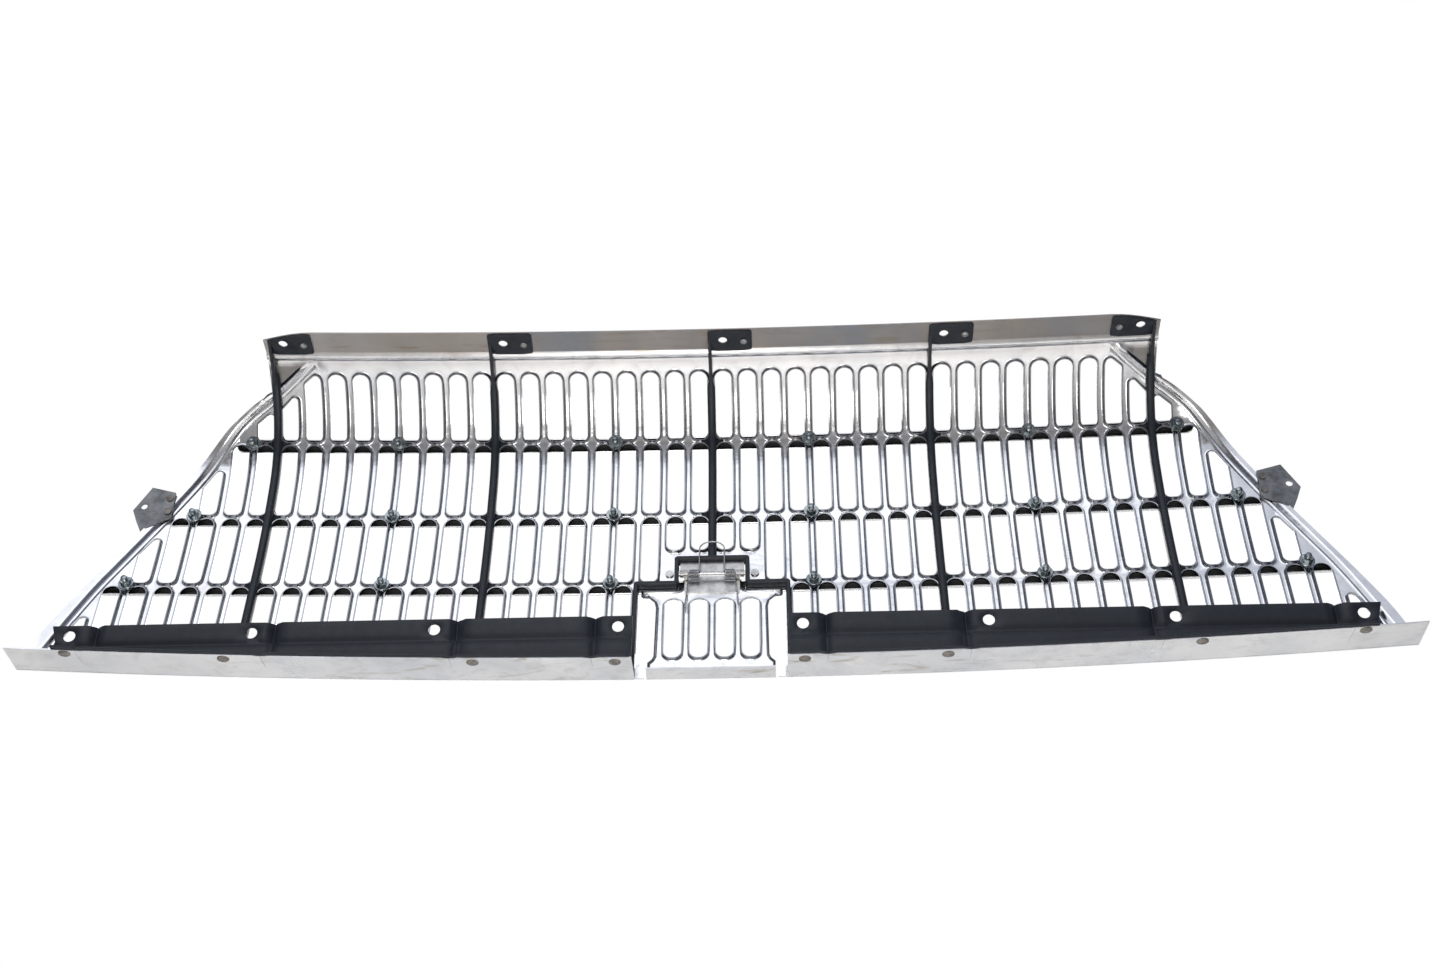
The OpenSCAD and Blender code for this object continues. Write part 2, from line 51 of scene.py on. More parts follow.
# ---- Driving sizes, the same as the CAD's ----
# Only FLANGE_HALF, FOLD_HALF and SIDE_LINE's first point differ, to keep the lower corners in its box
PITCH = 22.2
SHEET_T = 1.2
CROWN_R = 114.0
BELLY_R = 580.0
LEAN = math.radians(10)
BOW_R = 8000.0
ARCH_R = 17000.0
ARCH_START = -197.0
CROWN_LEN = 122.0
SKIRT_LEN = 216.0
BELLY_LEN = BELLY_R * LEAN
TOP_SLOPE = math.radians(11)
TOP_FLANGE = 32.0
FLANGE_END_D = 23.0
FLANGE_CUT_W = 45.0
BOTTOM_FLANGE = 42.0
TOP_HALF = 405.0
FLANGE_HALF = 578.5
FOLD_HALF = 581.5
SLOT_W = 14.8
SLOT_FOOT_R = 5.5
LIP_H = 4.0
ROW_TOP = (108.0, 39.3, -39.3, -116.5)
ROW_FOOT = (43.0, -34.6, -112.0, -195.0)
ROW_SLOTS = (19, 22, 24, 25)
SHORT_FOOT = -76.5
CROSS = (41.0, -37.0, -114.2)
STUD_K = ((4, 13, 19), (4, 13, 21), (4, 13, 23))
MOULD_HALF = (438.0, 493.0, 546.0)
MOULD_R = 6.5
MOULD_DROP = 1.5
STEEL_T = 2.0
BOLT_STEP = 155.0
BOLT_R = 5.0
BOLT_Z = -173.5
WALL_Y = 50.0
OPENING_HALF = 64.0
HINGE_W = -6.5
HINGE_OFF = 8.5
BRACE_X = 9 * PITCH
SIDE_LINE = ((587.9, -232), (575, -177), (553, -131), (529, -85), (503, -40), (476, 5), (450, 50),
             (436, 65), (421, 79), (TOP_HALF, 89.5))
RIM_LINE = ((567, -216), (534, -131), (510, -85), (484, -40), (457, 5), (432, 48), (418, 62.5),
            (396, 79), (373, 99), (357, 117))
OPENING_TOP = -120.5
NECK_HALF = 29.0
NECK_TOP = -92.0
TAB_MID = 19.0
TAB_W = 40.0
TAB_D = 23.0
TAB_HOLE_R = 4.0
BRACKET_IN = 65.5
BRACKET_OUT = 558.0
GROOVES = (97.0, 213.5, 368.5, 520.5)
BOLTS = tuple(BOLT_STEP * (i + 0.5) for i in range(4))
RIVET_PLACES = (78.0, 195.0, 400.0, 530.0)
RIVET_Y = 63.5

# ---- Pressed detail that only the looks have ----
# The sheet's folds and the last places before them
FOLD_START = -SKIRT_LEN + 3.5
TOP_START = CROWN_LEN - 1.5
FOLD_STEPS = tuple(d - SKIRT_LEN for d in (3.5, 2.5, 1.3, 0.6, 0.0, -0.6, -1.3, -2.5, -5.0))
FOLD_BEAD_H = 2.2
# A slot's lip: distance from its edge, height, and how dark its painted shade is
LIP = ((0.0, LIP_H, 1.0), (0.12, 2.9, 1.0), (0.4, 1.75, 0.85), (0.95, 0.75, 0.35), (1.8, 0.2, 0.0),
       (3.1, 0.0, 0.0))
SKELETON_INSET = 3.0
ROUND_FOOT_R = SLOT_W / 2 - 0.9
# The rim's bead: distance from the rim line, height, and height where it crosses a corner web
BEAD = ((3.7, 0.0, 0.0), (4.6, 0.8, 0.8), (5.6, 1.2, 1.2), (6.8, 0.9, 0.9), (8.0, 0.5, 0.5), (9.2, 1.1, 1.1),
        (10.4, 2.0, 2.0), (11.6, 2.6, 2.4), (12.8, 2.6, 1.2), (14.0, 2.6, 0.0))
# The panel's turned side edge
SIDE_TURN = 2.6


# ---- The sheet's surface ----
def sagitta(x, radius):
    return radius - math.sqrt(radius * radius - x * x)


def bow(x):
    return sagitta(x, BOW_R)


def sharp_section(s):
    """The front face's section as (rearward, up), its folds still sharp."""
    if s > CROWN_LEN:
        y, z = sharp_section(CROWN_LEN)
        run = s - CROWN_LEN
        return y + run * math.cos(TOP_SLOPE), z + run * math.sin(TOP_SLOPE)
    if s >= -BELLY_LEN:
        radius = CROWN_R if s >= 0 else BELLY_R
        return radius * (1 - math.cos(s / radius)), radius * math.sin(s / radius)
    if s >= -SKIRT_LEN:
        y, z = sharp_section(-BELLY_LEN)
        run = -s - BELLY_LEN
        return y + run * math.sin(LEAN), z - run * math.cos(LEAN)
    y, z = sharp_section(-SKIRT_LEN)
    return y - s - SKIRT_LEN, z


def smooth_section(s, blur=2.4):
    """The same with its folds rounded."""
    near_fold = min(abs(s - CROWN_LEN), abs(s + SKIRT_LEN)) < blur
    if not near_fold:
        return sharp_section(s)
    steps = [sharp_section(s + blur * k / 6) for k in range(-6, 7)]
    return sum(p[0] for p in steps) / 13, sum(p[1] for p in steps) / 13


@lru_cache(None)
def section(s):
    """Point and rearward normal of the section."""
    y, z = smooth_section(s)
    ya, za = smooth_section(s - 0.2)
    yb, zb = smooth_section(s + 0.2)
    run = math.hypot(yb - ya, zb - za)
    return y, z, (zb - za) / run, -(yb - ya) / run


def row(x, y, z):
    """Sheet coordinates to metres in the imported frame."""
    return Vector((x, y - WALL_Y - STEEL_T / 2, z - BOLT_Z)) / 1000


def place(x, s, off=0.0):
    """A point off behind the sheet, which slides up along itself near its foot and so has an arched edge."""
    y, z, ny, nz = section(round(s, 3))
    share = min(max((ARCH_START - s) / (ARCH_START + SKIRT_LEN), 0.0), 1.0)
    slide = sagitta(x, ARCH_R) / math.cos(LEAN) * share
    return row(x, y + off * ny + bow(x) - slide * math.sin(LEAN), z + off * nz + slide * math.cos(LEAN))


def sheet_frame(x, s, off=0.0):
    """Matrix for parts drawn in millimetres: their +Z is the sheet's rearward normal, +X across."""
    _, _, ny, nz = section(round(s, 3))
    across = Vector((1, 0, 0))
    back = Vector((0, ny, nz))
    turn = Matrix((across, back.cross(across), back)).transposed().to_4x4()
    return Matrix.Translation(place(x, s, off)) @ turn @ Matrix.Scale(0.001, 4)


def smoothstep(t):
    t = min(max(t, 0.0), 1.0)
    return t * t * (3 - 2 * t)


# ---- Mesh helpers ----
def finish_mesh(bm, name, materials, body="grille", node=None, angle=32):
    """Turns a bmesh into a piece that rides on a body and may stand for CAD nodes."""
    bmesh.ops.remove_doubles(bm, verts=bm.verts, dist=4e-6)
    bmesh.ops.recalc_face_normals(bm, faces=bm.faces)
    mesh = bpy.data.meshes.new(name)
    bm.to_mesh(mesh)
    bm.free()
    for polygon in mesh.polygons:
        polygon.use_smooth = True
    mesh.set_sharp_from_angle(angle=math.radians(angle))
    piece = bpy.data.objects.new(name, mesh)
    bpy.context.scene.collection.objects.link(piece)
    for material in materials:
        mesh.materials.append(material)
    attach(piece, body)
    if node:
        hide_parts(*([node] if isinstance(node, str) else node))
    return piece


def mean_normal(piece):
    total = Vector()
    for p in piece.data.polygons:
        total += p.normal * p.area
    return total.normalized()


def rearward(piece):
    """The thickness offset that leaves an upright sheet's material on its rear: its normals' direction."""
    return 1.0 if mean_normal(piece).y > 0 else -1.0


def thicken(piece, thickness, offset=1.0, material_offset=0):
    """Gives a sheet its thickness, in millimetres."""
    solid = piece.modifiers.new("thickness", "SOLIDIFY")
    solid.thickness = thickness / 1000
    solid.offset = offset
    solid.use_even_offset = True
    solid.thickness_clamp = 1.0
    solid.material_offset = material_offset
    return piece


def crisp_borders(piece):
    """Keeps the shading of a thickened sheet from running round its cut edges."""
    split = piece.modifiers.new("crisp", "EDGE_SPLIT")
    split.split_angle = math.radians(60)
    split.use_edge_sharp = False
    return piece


def soften(piece, width, segments=2, angle=35):
    """Rounds a piece's sharp edges, in millimetres."""
    round_off = piece.modifiers.new("edges", "BEVEL")
    round_off.width = width / 1000
    round_off.segments = segments
    round_off.limit_method = "ANGLE"
    round_off.angle_limit = math.radians(angle)
    round_off.harden_normals = False
    return piece


def triangulate(outline, holes=(), chains=(), loose=()):
    """Triangles inside an outline and outside its holes: (points, their input numbers, triangles)."""
    points, edges = [], []

    def add(line, closed):
        base = len(points)
        points.extend(Vector(p) for p in line)
        count = len(line)
        edges.extend((base + i, base + (i + 1) % count) for i in range(count if closed else count - 1))
        return list(range(base, base + count))

    loops = [add(outline, True)] + [add(hole, True) for hole in holes]
    for chain in chains:
        add(chain, False)
    points.extend(Vector(p) for p in loose)
    verts, _, tris, origin, _, owners = delaunay_2d_cdt(points, edges, loops, 1, 1e-4)
    return verts, origin, [t for t, own in zip(tris, owners) if own == [0]]


def add_patch(bm, outline, holes, to_space, loose=()):
    verts, _, tris = triangulate(outline, holes, loose=loose)
    made = [bm.verts.new(to_space(v[0], v[1])) for v in verts]
    for t in tris:
        bm.faces.new([made[i] for i in t])


def resample(line, step, closed=False):
    """Points along a polyline at most step apart, with its corners kept."""
    pairs = list(zip(line, line[1:] + line[:1] if closed else line[1:]))
    out = []
    for a, b in pairs:
        parts = max(1, math.ceil(math.dist(a, b) / step))
        out += [tuple(p + (q - p) * i / parts for p, q in zip(a, b)) for i in range(parts)]
    return out if closed else out + [tuple(line[-1])]


def mirrored(line):
    return [(-x, s) for x, s in reversed(line)]


def rounded(line, rounds=2):
    """Chaikin's corner cutting, with the ends kept."""
    for _ in range(rounds):
        cut = [line[0]]
        for a, b in zip(line, line[1:]):
            cut += [tuple(0.75 * p + 0.25 * q for p, q in zip(a, b)),
                    tuple(0.25 * p + 0.75 * q for p, q in zip(a, b))]
        line = cut + [line[-1]]
    return line


def circle_points(x, s, radius, count=28):
    turns = [2 * math.pi * i / count for i in range(count)]
    return [(x + radius * math.cos(t), s + radius * math.sin(t)) for t in turns]


def clip(polygon, a, b, inset):
    """The part of a convex polygon on the left of the line from a to b, moved left by inset."""
    length = math.dist(a, b)
    normal = (-(b[1] - a[1]) / length, (b[0] - a[0]) / length)
    depth = [(p[0] - a[0]) * normal[0] + (p[1] - a[1]) * normal[1] - inset for p in polygon]
    out = []
    for i, p in enumerate(polygon):
        j = (i + 1) % len(polygon)
        if depth[i] >= 0:
            out.append(p)
        if depth[i] * depth[j] < 0:
            t = depth[i] / (depth[i] - depth[j])
            out.append(tuple(u + (v - u) * t for u, v in zip(p, polygon[j])))
    return out


def area_of(polygon):
    return sum(p[0] * q[1] - q[0] * p[1] for p, q in zip(polygon, polygon[1:] + polygon[:1])) / 2


def outward_rings(polygon, distances):
    """Rings round a convex polygon, with round corners; every ring has the same number of points."""
    count = len(polygon)
    angles = []
    for i, p in enumerate(polygon):
        q = polygon[(i + 1) % count]
        angles.append(math.atan2(-(q[0] - p[0]), q[1] - p[1]))
    rings = [[] for _ in distances]
    for i, p in enumerate(polygon):
        first = angles[i - 1]
        turn = (angles[i] - first + math.pi) % (2 * math.pi) - math.pi
        parts = max(0, round(turn / math.radians(18)))
        for k in range(parts + 1):
            along = first + (turn * k / parts if parts else turn / 2)
            for ring, d in zip(rings, distances):
                ring.append((p[0] + d * math.cos(along), p[1] + d * math.sin(along)))
    return rings


def slot_rings(x, low, high, rim=(), foot_r=SLOT_FOOT_R):
    """Rings of one slot from its lip's edge outward, or None where the rim leaves no room."""
    half = SLOT_W / 2 - SKELETON_INSET
    foot = foot_r - SKELETON_INSET
    shape = [(x + half * math.cos(t), high - SLOT_W / 2 + half * math.sin(t))
             for t in (math.pi * i / 12 for i in range(13))]
    for side, start in ((-1, math.pi), (1, 1.5 * math.pi)):
        shape += [(x + side * (half - foot) + foot * math.cos(t), low + foot_r + foot * math.sin(t))
                  for t in (start + math.pi / 2 * i / 4 for i in range(5))]
    for a, b in rim:
        if min(a[0], b[0]) - 20 < x < max(a[0], b[0]) + 20:
            shape = clip(shape, a, b, SKELETON_INSET)
            if len(shape) < 3:
                return None
    if area_of(shape) < 30:
        return None
    shape = resample(shape, 7, closed=True)
    return outward_rings(shape, [SKELETON_INSET + distance for distance, _, _ in LIP])


def add_rings(bm, rings):
    """The lip of one slot as strips of quads, its painted shade kept as a value of each vertex."""
    lip_shade = bm.verts.layers.float.get("lip") or bm.verts.layers.float.new("lip")
    rows = []
    for ring, (_, height, amount) in zip(rings, LIP):
        rows.append([bm.verts.new(place(x, s, height)) for x, s in ring])
        for vert in rows[-1]:
            vert[lip_shade] = amount
    for inner, outer in zip(rows, rows[1:]):
        for i in range(len(inner)):
            bm.faces.new((inner[i - 1], outer[i - 1], outer[i], inner[i]))


def lathe(bm, matrix, profile, steps=24):
    """Turns (radius, height) pairs round the frame's +Z. A radius may be a function of the angle."""
    loops = []
    for radius, height in profile:
        ring = []
        for i in range(steps):
            t = 2 * math.pi * i / steps
            r = radius(t) if callable(radius) else radius
            ring.append(bm.verts.new(matrix @ Vector((r * math.cos(t), r * math.sin(t), height))))
        loops.append(ring)
    for low, high in zip(loops, loops[1:]):
        for i in range(steps):
            bm.faces.new((low[i - 1], low[i], high[i], high[i - 1]))
    bm.faces.new(loops[0])
    bm.faces.new(loops[-1])


def hexagon(apothem, limit=None):
    """Radius of a hexagon by angle, or of the circle that chamfers it where that is smaller."""
    def radius(t):
        flat = apothem / math.cos((t + math.pi / 6) % (math.pi / 3) - math.pi / 6)
        return min(flat, limit) if limit else flat
    return radius


def tube(bm, points, radius, sides=10):
    """A round wire through points, with closed ends."""
    points = [Vector(p) for p in points]
    ring_before = None
    side = None
    for i, p in enumerate(points):
        ahead = (points[min(i + 1, len(points) - 1)] - points[max(i - 1, 0)]).normalized()
        if side is None:
            side = ahead.orthogonal().normalized()
        side = (side - ahead * side.dot(ahead)).normalized()
        other = ahead.cross(side)
        ring = []
        for k in range(sides):
            t = 2 * math.pi * k / sides
            ring.append(bm.verts.new(p + radius * (math.cos(t) * side + math.sin(t) * other)))
        if ring_before:
            for k in range(sides):
                bm.faces.new((ring_before[k - 1], ring_before[k], ring[k], ring[k - 1]))
        else:
            bm.faces.new(ring)
        ring_before = ring
    bm.faces.new(ring_before)


def loft(bm, rows, cap=True, closed=True):
    """Quads between rows of points, each row a closed section or an open one."""
    rows = [[bm.verts.new(p) for p in line] for line in rows]
    count = len(rows[0])
    for a, b in zip(rows, rows[1:]):
        for i in range(0 if closed else 1, count):
            bm.faces.new((a[i - 1], a[i], b[i], b[i - 1]))
    if cap and closed:
        bm.faces.new(rows[0])
        bm.faces.new(rows[-1])


# ---- Materials ----
class Nodes:
    """A few shorthands for building one node tree, with values by direction or by place."""

    def __init__(self, owner, coordinates):
        owner.use_nodes = True
        self.tree = owner.node_tree
        self.space = self.tree.nodes.new("ShaderNodeTexCoord").outputs[coordinates]

    def link(self, a, b):
        self.tree.links.new(a, b)

    def noise(self, scale, stretch=(1, 1, 1), detail=5.0, rough=0.55, warp=0.0):
        mapping = self.tree.nodes.new("ShaderNodeMapping")
        mapping.inputs["Scale"].default_value = stretch
        self.link(self.space, mapping.inputs["Vector"])
        node = self.tree.nodes.new("ShaderNodeTexNoise")
        node.inputs["Scale"].default_value = scale
        node.inputs["Detail"].default_value = detail
        node.inputs["Roughness"].default_value = rough
        node.inputs["Distortion"].default_value = warp
        self.link(mapping.outputs["Vector"], node.inputs["Vector"])
        return node.outputs["Fac"]

    def ramp(self, value, *stops):
        """A colour ramp; a stop is (position, grey or colour)."""
        node = self.tree.nodes.new("ShaderNodeValToRGB")
        elements = node.color_ramp.elements
        while len(elements) < len(stops):
            elements.new(0.5)
        for element, (position, colour) in zip(elements, stops):
            element.position = position
            tone = colour if isinstance(colour, tuple) else (colour,) * 3
            element.color = (*tone, 1)
        self.link(value, node.inputs["Fac"])
        return node.outputs["Color"]

    def mix(self, factor, a, b, mode="MIX"):
        node = self.tree.nodes.new("ShaderNodeMix")
        node.data_type = "RGBA"
        node.blend_type = mode
        for socket, value in zip((node.inputs[0], node.inputs[6], node.inputs[7]), (factor, a, b)):
            if isinstance(value, tuple):
                socket.default_value = (*value, 1)
            elif isinstance(value, (int, float)):
                socket.default_value = value
            else:
                self.link(value, socket)
        return node.outputs[2]

    def maths(self, operation, a, b=None):
        node = self.tree.nodes.new("ShaderNodeMath")
        node.operation = operation
        for socket, value in zip(node.inputs, (a, b)):
            if isinstance(value, (int, float)):
                socket.default_value = value
            elif value is not None:
                self.link(value, socket)
        return node.outputs[0]

    def times(self, a, b):
        return self.maths("MULTIPLY", a, b)

    def plus(self, a, b):
        return self.maths("ADD", a, b)

    def inverse(self, value):
        return self.maths("SUBTRACT", 1.0, value)

    def between(self, value, low, high):
        """0 below low, 1 above high."""
        node = self.tree.nodes.new("ShaderNodeMapRange")
        node.inputs["From Min"].default_value = low
        node.inputs["From Max"].default_value = high
        self.link(value, node.inputs["Value"])
        return node.outputs["Result"]

    def vertex_value(self, name):
        node = self.tree.nodes.new("ShaderNodeAttribute")
        node.attribute_name = name
        return node.outputs["Fac"]

    def axis(self, name):
        node = self.tree.nodes.new("ShaderNodeSeparateXYZ")
        self.link(self.space, node.inputs[0])
        return node.outputs[name]


class Finish(Nodes):
    """The same for a material, with its one shader."""

    def __init__(self, name):
        self.material = bpy.data.materials.new(name)
        super().__init__(self.material, "Object")
        self.shader = self.tree.nodes["Principled BSDF"]

    def bump(self, height, strength, distance):
        node = self.tree.nodes.new("ShaderNodeBump")
        node.inputs["Strength"].default_value = strength
        node.inputs["Distance"].default_value = distance
        self.link(height, node.inputs["Height"])
        self.link(node.outputs["Normal"], self.shader.inputs["Normal"])

    def set(self, **values):
        for key, value in values.items():
            socket = self.shader.inputs[key.replace("_", " ")]
            if isinstance(value, tuple):
                socket.default_value = (*value, 1)
            elif isinstance(value, (int, float)):
                socket.default_value = value
            else:
                self.link(value, socket)


def aluminium():
    n = Finish("pressed_aluminium")
    cloud = n.noise(9, detail=4, warp=0.6)
    base = n.mix(n.ramp(cloud, (0.35, 0.0), (0.7, 1.0)), (0.66, 0.68, 0.72), (0.86, 0.86, 0.87))
    grime = n.ramp(n.noise(55, (1, 1, 0.5), 8, 0.7, 0.8), (0.50, 0.0), (0.80, 1.0))
    base = n.mix(n.times(grime, 0.55), base, (0.40, 0.38, 0.36))
    # The zones: the two flanges, and the plain corners outside the rim, which are rougher and carry painted
    # shade
    across = n.axis("X")
    unbowed = n.maths("SUBTRACT", n.axis("Y"), n.maths("DIVIDE", n.times(across, across), 16.0))
    low = n.inverse(n.between(n.axis("Z"), -0.040, -0.034))
    low = n.times(low, n.between(unbowed, -0.021, -0.018))
    high = n.times(n.between(n.axis("Z"), 0.262, 0.266), n.between(unbowed, 0.014, 0.018))
    past_rim = n.plus(n.times(n.maths("ABSOLUTE", across), 0.535),
                       n.times(n.axis("Z"), 0.845))
    corner = n.times(n.between(past_rim, 0.4288, 0.4304), n.between(n.axis("Z"), 0.240, 0.244))
    corner = n.times(corner, n.inverse(n.between(unbowed, 0.002, 0.006)))
    # Painted shade: the plain corner webs outside the rim are darkened in the colour
    base = n.mix(n.times(corner, 0.93), base, (0.19, 0.18, 0.175))
    base = n.mix(n.times(high, 0.62), base, (0.30, 0.27, 0.245))
    # Painted shade: the band just below the top fold is darkened in the colour
    painted_fold_shade = n.times(n.between(n.axis("Z"), 0.2660, 0.2735),
                         n.inverse(n.between(unbowed, 0.005, 0.008)))
    base = n.mix(n.times(painted_fold_shade, 0.55), base, (0.36, 0.33, 0.31))
    smear = n.ramp(n.noise(4.5, (1, 0.3, 0.3), 4, 0.6, 0.5),
                   (0.36, (0.20, 0.23, 0.28)), (0.50, (0.40, 0.34, 0.29)), (0.66, (0.60, 0.56, 0.53)))
    base = n.mix(n.times(high, 0.55), base, smear)
    # Painted shade: the slots' lips and the flap's turned edge are darkened by their vertex value lip
    base = n.mix(n.times(n.vertex_value("lip"), 0.62), base, (0.13, 0.14, 0.16))
    # Old water stains and brown scratches, most of them on the two flanges
    scratch = n.ramp(n.noise(26, (0.5, 2.2, 2.2), 8, 0.62, 1.6), (0.56, 0.0), (0.66, 1.0))
    flanges = n.maths("MAXIMUM", low, high)
    stained = n.times(scratch, n.plus(n.times(flanges, 0.50), 0.12))
    base = n.mix(stained, base, (0.34, 0.28, 0.20))
    blotch = n.ramp(n.noise(13, (0.6, 1, 1), 5, 0.6, 1.0), (0.45, 0.0), (0.75, 1.0))
    base = n.mix(n.times(n.times(blotch, flanges), 0.45), base, (0.36, 0.39, 0.44))
    n.set(Base_Color=base, Metallic=1.0)
    streaks = n.noise(60, (0.25, 1, 6), 6)
    rough = n.plus(n.times(streaks, 0.14), n.times(flanges, 0.22))
    n.set(Roughness=n.plus(n.plus(rough, 0.12), n.times(corner, 0.15)))
    n.bump(n.noise(34, (0.6, 1, 1.4), 3), 0.12, 0.004)
    return n.material


def black_paint():
    n = Finish("black_paint")
    dust = n.ramp(n.noise(140, detail=8, rough=0.7), (0.48, 0.0), (0.80, 1.0))
    patch = n.ramp(n.noise(14, detail=3), (0.40, 0.0), (0.75, 1.0))
    base = n.mix(n.times(dust, 0.30), (0.012, 0.017, 0.026), (0.050, 0.060, 0.074))
    base = n.mix(n.times(patch, 0.40), base, (0.022, 0.029, 0.040))
    n.set(Base_Color=base, Metallic=0.0, Specular_IOR_Level=0.45)
    n.set(Roughness=n.plus(n.times(n.noise(90), 0.22), 0.32))
    n.bump(n.noise(520, detail=3), 0.12, 0.0004)
    return n.material


def metal(name, dark, light, rough, spread=0.15, scale=80):
    """A plain metal: two tones of one colour, uneven roughness and a fine grain."""
    n = Finish(name)
    tone = n.ramp(n.noise(scale, detail=7, rough=0.65), (0.35, 0.0), (0.68, 1.0))
    n.set(Base_Color=n.mix(tone, dark, light), Metallic=1.0)
    n.set(Roughness=n.plus(n.times(n.noise(scale * 2), spread), rough))
    n.bump(n.noise(scale * 5, detail=3), 0.10, 0.0004)
    return n.material


def moulding_black():
    n = Finish("moulding_black_lining")
    tone = n.ramp(n.noise(70, (0.4, 1, 1), 6), (0.35, 0.0), (0.75, 1.0))
    n.set(Base_Color=n.mix(tone, (0.010, 0.011, 0.013), (0.030, 0.030, 0.030)), Metallic=0.0)
    n.set(Roughness=n.plus(n.times(tone, 0.2), 0.45))
    return n.material


def floor_paper():
    n = Finish("floor_paper")
    n.set(Base_Color=n.mix(n.noise(3), (0.60, 0.57, 0.53), (0.63, 0.60, 0.56)), Roughness=0.9)
    return n.material


ALUMINIUM = aluminium()
BLACK = black_paint()
POLISHED = metal("polished_trim", (0.83, 0.83, 0.85), (0.90, 0.90, 0.91), 0.05, 0.06, 40)
LINING = moulding_black()
ZINC = metal("dark_zinc", (0.12, 0.145, 0.16), (0.50, 0.55, 0.57), 0.16, 0.2, 220)
RIVET = metal("rivet_steel", (0.14, 0.125, 0.110), (0.34, 0.32, 0.30), 0.36, 0.2, 200)
SPRING = metal("spring_steel", (0.48, 0.48, 0.50), (0.72, 0.72, 0.73), 0.20, 0.15, 300)
GALVANISED = metal("galvanised", (0.15, 0.155, 0.165), (0.36, 0.37, 0.38), 0.38, 0.2, 90)
PLATED = metal("plated_steel", (0.36, 0.36, 0.36), (0.70, 0.70, 0.69), 0.24, 0.2, 120)


# ---- Panel ----
def rim_edges(side):
    line = [(side * x, s) for x, s in RIM_LINE]
    pairs = list(zip(line, line[1:]))
    return pairs if side > 0 else [(b, a) for a, b in pairs]


def all_slots():
    """(x, foot, top, row) of every slot in the panel."""
    for r, count in enumerate(ROW_SLOTS):
        for side in (1, -1):
            for i in range(3 if r == 3 else 0, count):
                foot = SHORT_FOOT if r == 2 and i < 2 else ROW_FOOT[r]
                yield side * PITCH * (i + 0.5), foot, ROW_TOP[r]


def rim_path():
    """The bead's base line, from one lower corner over the top to the other, with its outward normals."""
    half = list(RIM_LINE) + [(346, 127), (320, 140)]
    line = resample(rounded(half + mirrored(half), 3), 6)
    thin = [line[0]]
    for p in line[1:]:
        if math.dist(p, thin[-1]) > 4:
            thin.append(p)
    normals = []
    for i in range(len(thin)):
        a, b = thin[max(i - 1, 0)], thin[min(i + 1, len(thin) - 1)]
        run = math.dist(a, b)
        normals.append(((b[1] - a[1]) / run, -(b[0] - a[0]) / run))
    return thin, normals


def panel_outline():
    """The right half's outer edge, from the lower fold up to the top fold."""
    edge = [p for p in rounded(list(SIDE_LINE)) if p[1] > FOLD_START + 4]
    return resample([(side_half(FOLD_START), FOLD_START)] + edge + [(TOP_HALF, TOP_START)], 7)


@lru_cache(None)
def side_half(s):
    """Half width of the panel at a place low on its side."""
    a, b = SIDE_LINE[0], SIDE_LINE[1]
    return min(a[0] + (b[0] - a[0]) * (s - a[1]) / (b[1] - a[1]), FOLD_HALF)


def columns(inner, outer, step=9.0):
    count = max(1, round((outer - inner) / step))
    return [inner + (outer - inner) * i / count for i in range(count + 1)]


def bead_chains(path, normals, first):
    """The bead's lines that lie on the sheet, and the heights of their points by number, from first on."""
    chains, heights = [], {}
    for distance, height, web_height in BEAD:
        chain = []
        for (x, s), (nx, ns) in zip(path, normals):
            p = (x + nx * distance, s + ns * distance)
            if FOLD_START + 0.6 < p[1] < TOP_START - 0.6:
                tall = web_height if abs(p[0]) < TOP_HALF + 3 else height
                heights[first + len(chain)] = tall * smoothstep((TOP_START + 3 - p[1]) / 14)
                chain.append(p)
        first += len(chain)
        # A line that leaves the sheet is split where it does
        part = []
        for p in chain:
            if part and math.dist(p, part[-1]) > 20:
                chains.append(part)
                part = []
            part.append(p)
        chains.append(part)
    return chains, heights


def build_panel():
    bm = bmesh.new()
    rings = []
    for x, foot, top in all_slots():
        foot_r = ROUND_FOOT_R if foot == SHORT_FOOT else SLOT_FOOT_R
        made = slot_rings(x, foot, top, rim_edges(1 if x > 0 else -1), foot_r)
        if made:
            rings.append(made)
            add_rings(bm, made)
    right = panel_outline()
    foot_cols = columns(OPENING_HALF, right[0][0])
    top_cols = columns(-TOP_HALF, TOP_HALF)
    opening = [(OPENING_HALF, FOLD_START), (OPENING_HALF, OPENING_TOP), (NECK_HALF, OPENING_TOP),
               (NECK_HALF, NECK_TOP)]
    opening = resample(opening + mirrored(opening), 7)
    foot_line = [(x, FOLD_START) for x in foot_cols[1:-1]]
    outline = (foot_line + right + [(x, TOP_START) for x in reversed(top_cols[1:-1])] + mirrored(right)
               + mirrored(foot_line) + opening[::-1])
    path, normals = rim_path()
    chains, heights = bead_chains(path, normals, len(outline) + sum(len(r[-1]) for r in rings))
    for i, (x, s) in enumerate(outline):
        if abs(x) > TOP_HALF + 3 and s > FOLD_START + 1:
            heights[i] = SIDE_TURN
    loose = loose_points(rings, path, right)
    verts, origin, tris = triangulate(outline, [r[-1] for r in rings], chains, loose)
    made = [bm.verts.new(place(v[0], v[1], max([heights.get(i, 0) for i in old] or [0])))
            for v, old in zip(verts, origin)]
    for t in tris:
        bm.faces.new([made[i] for i in t])
    fold_strip(bm, foot_cols, 1)
    fold_strip(bm, foot_cols, -1)
    top_flange(bm, top_cols)
    panel = finish_mesh(bm, "panel", [ALUMINIUM], node="grille_panel", angle=40)
    crisp_borders(thicken(panel, SHEET_T, rearward(panel)))


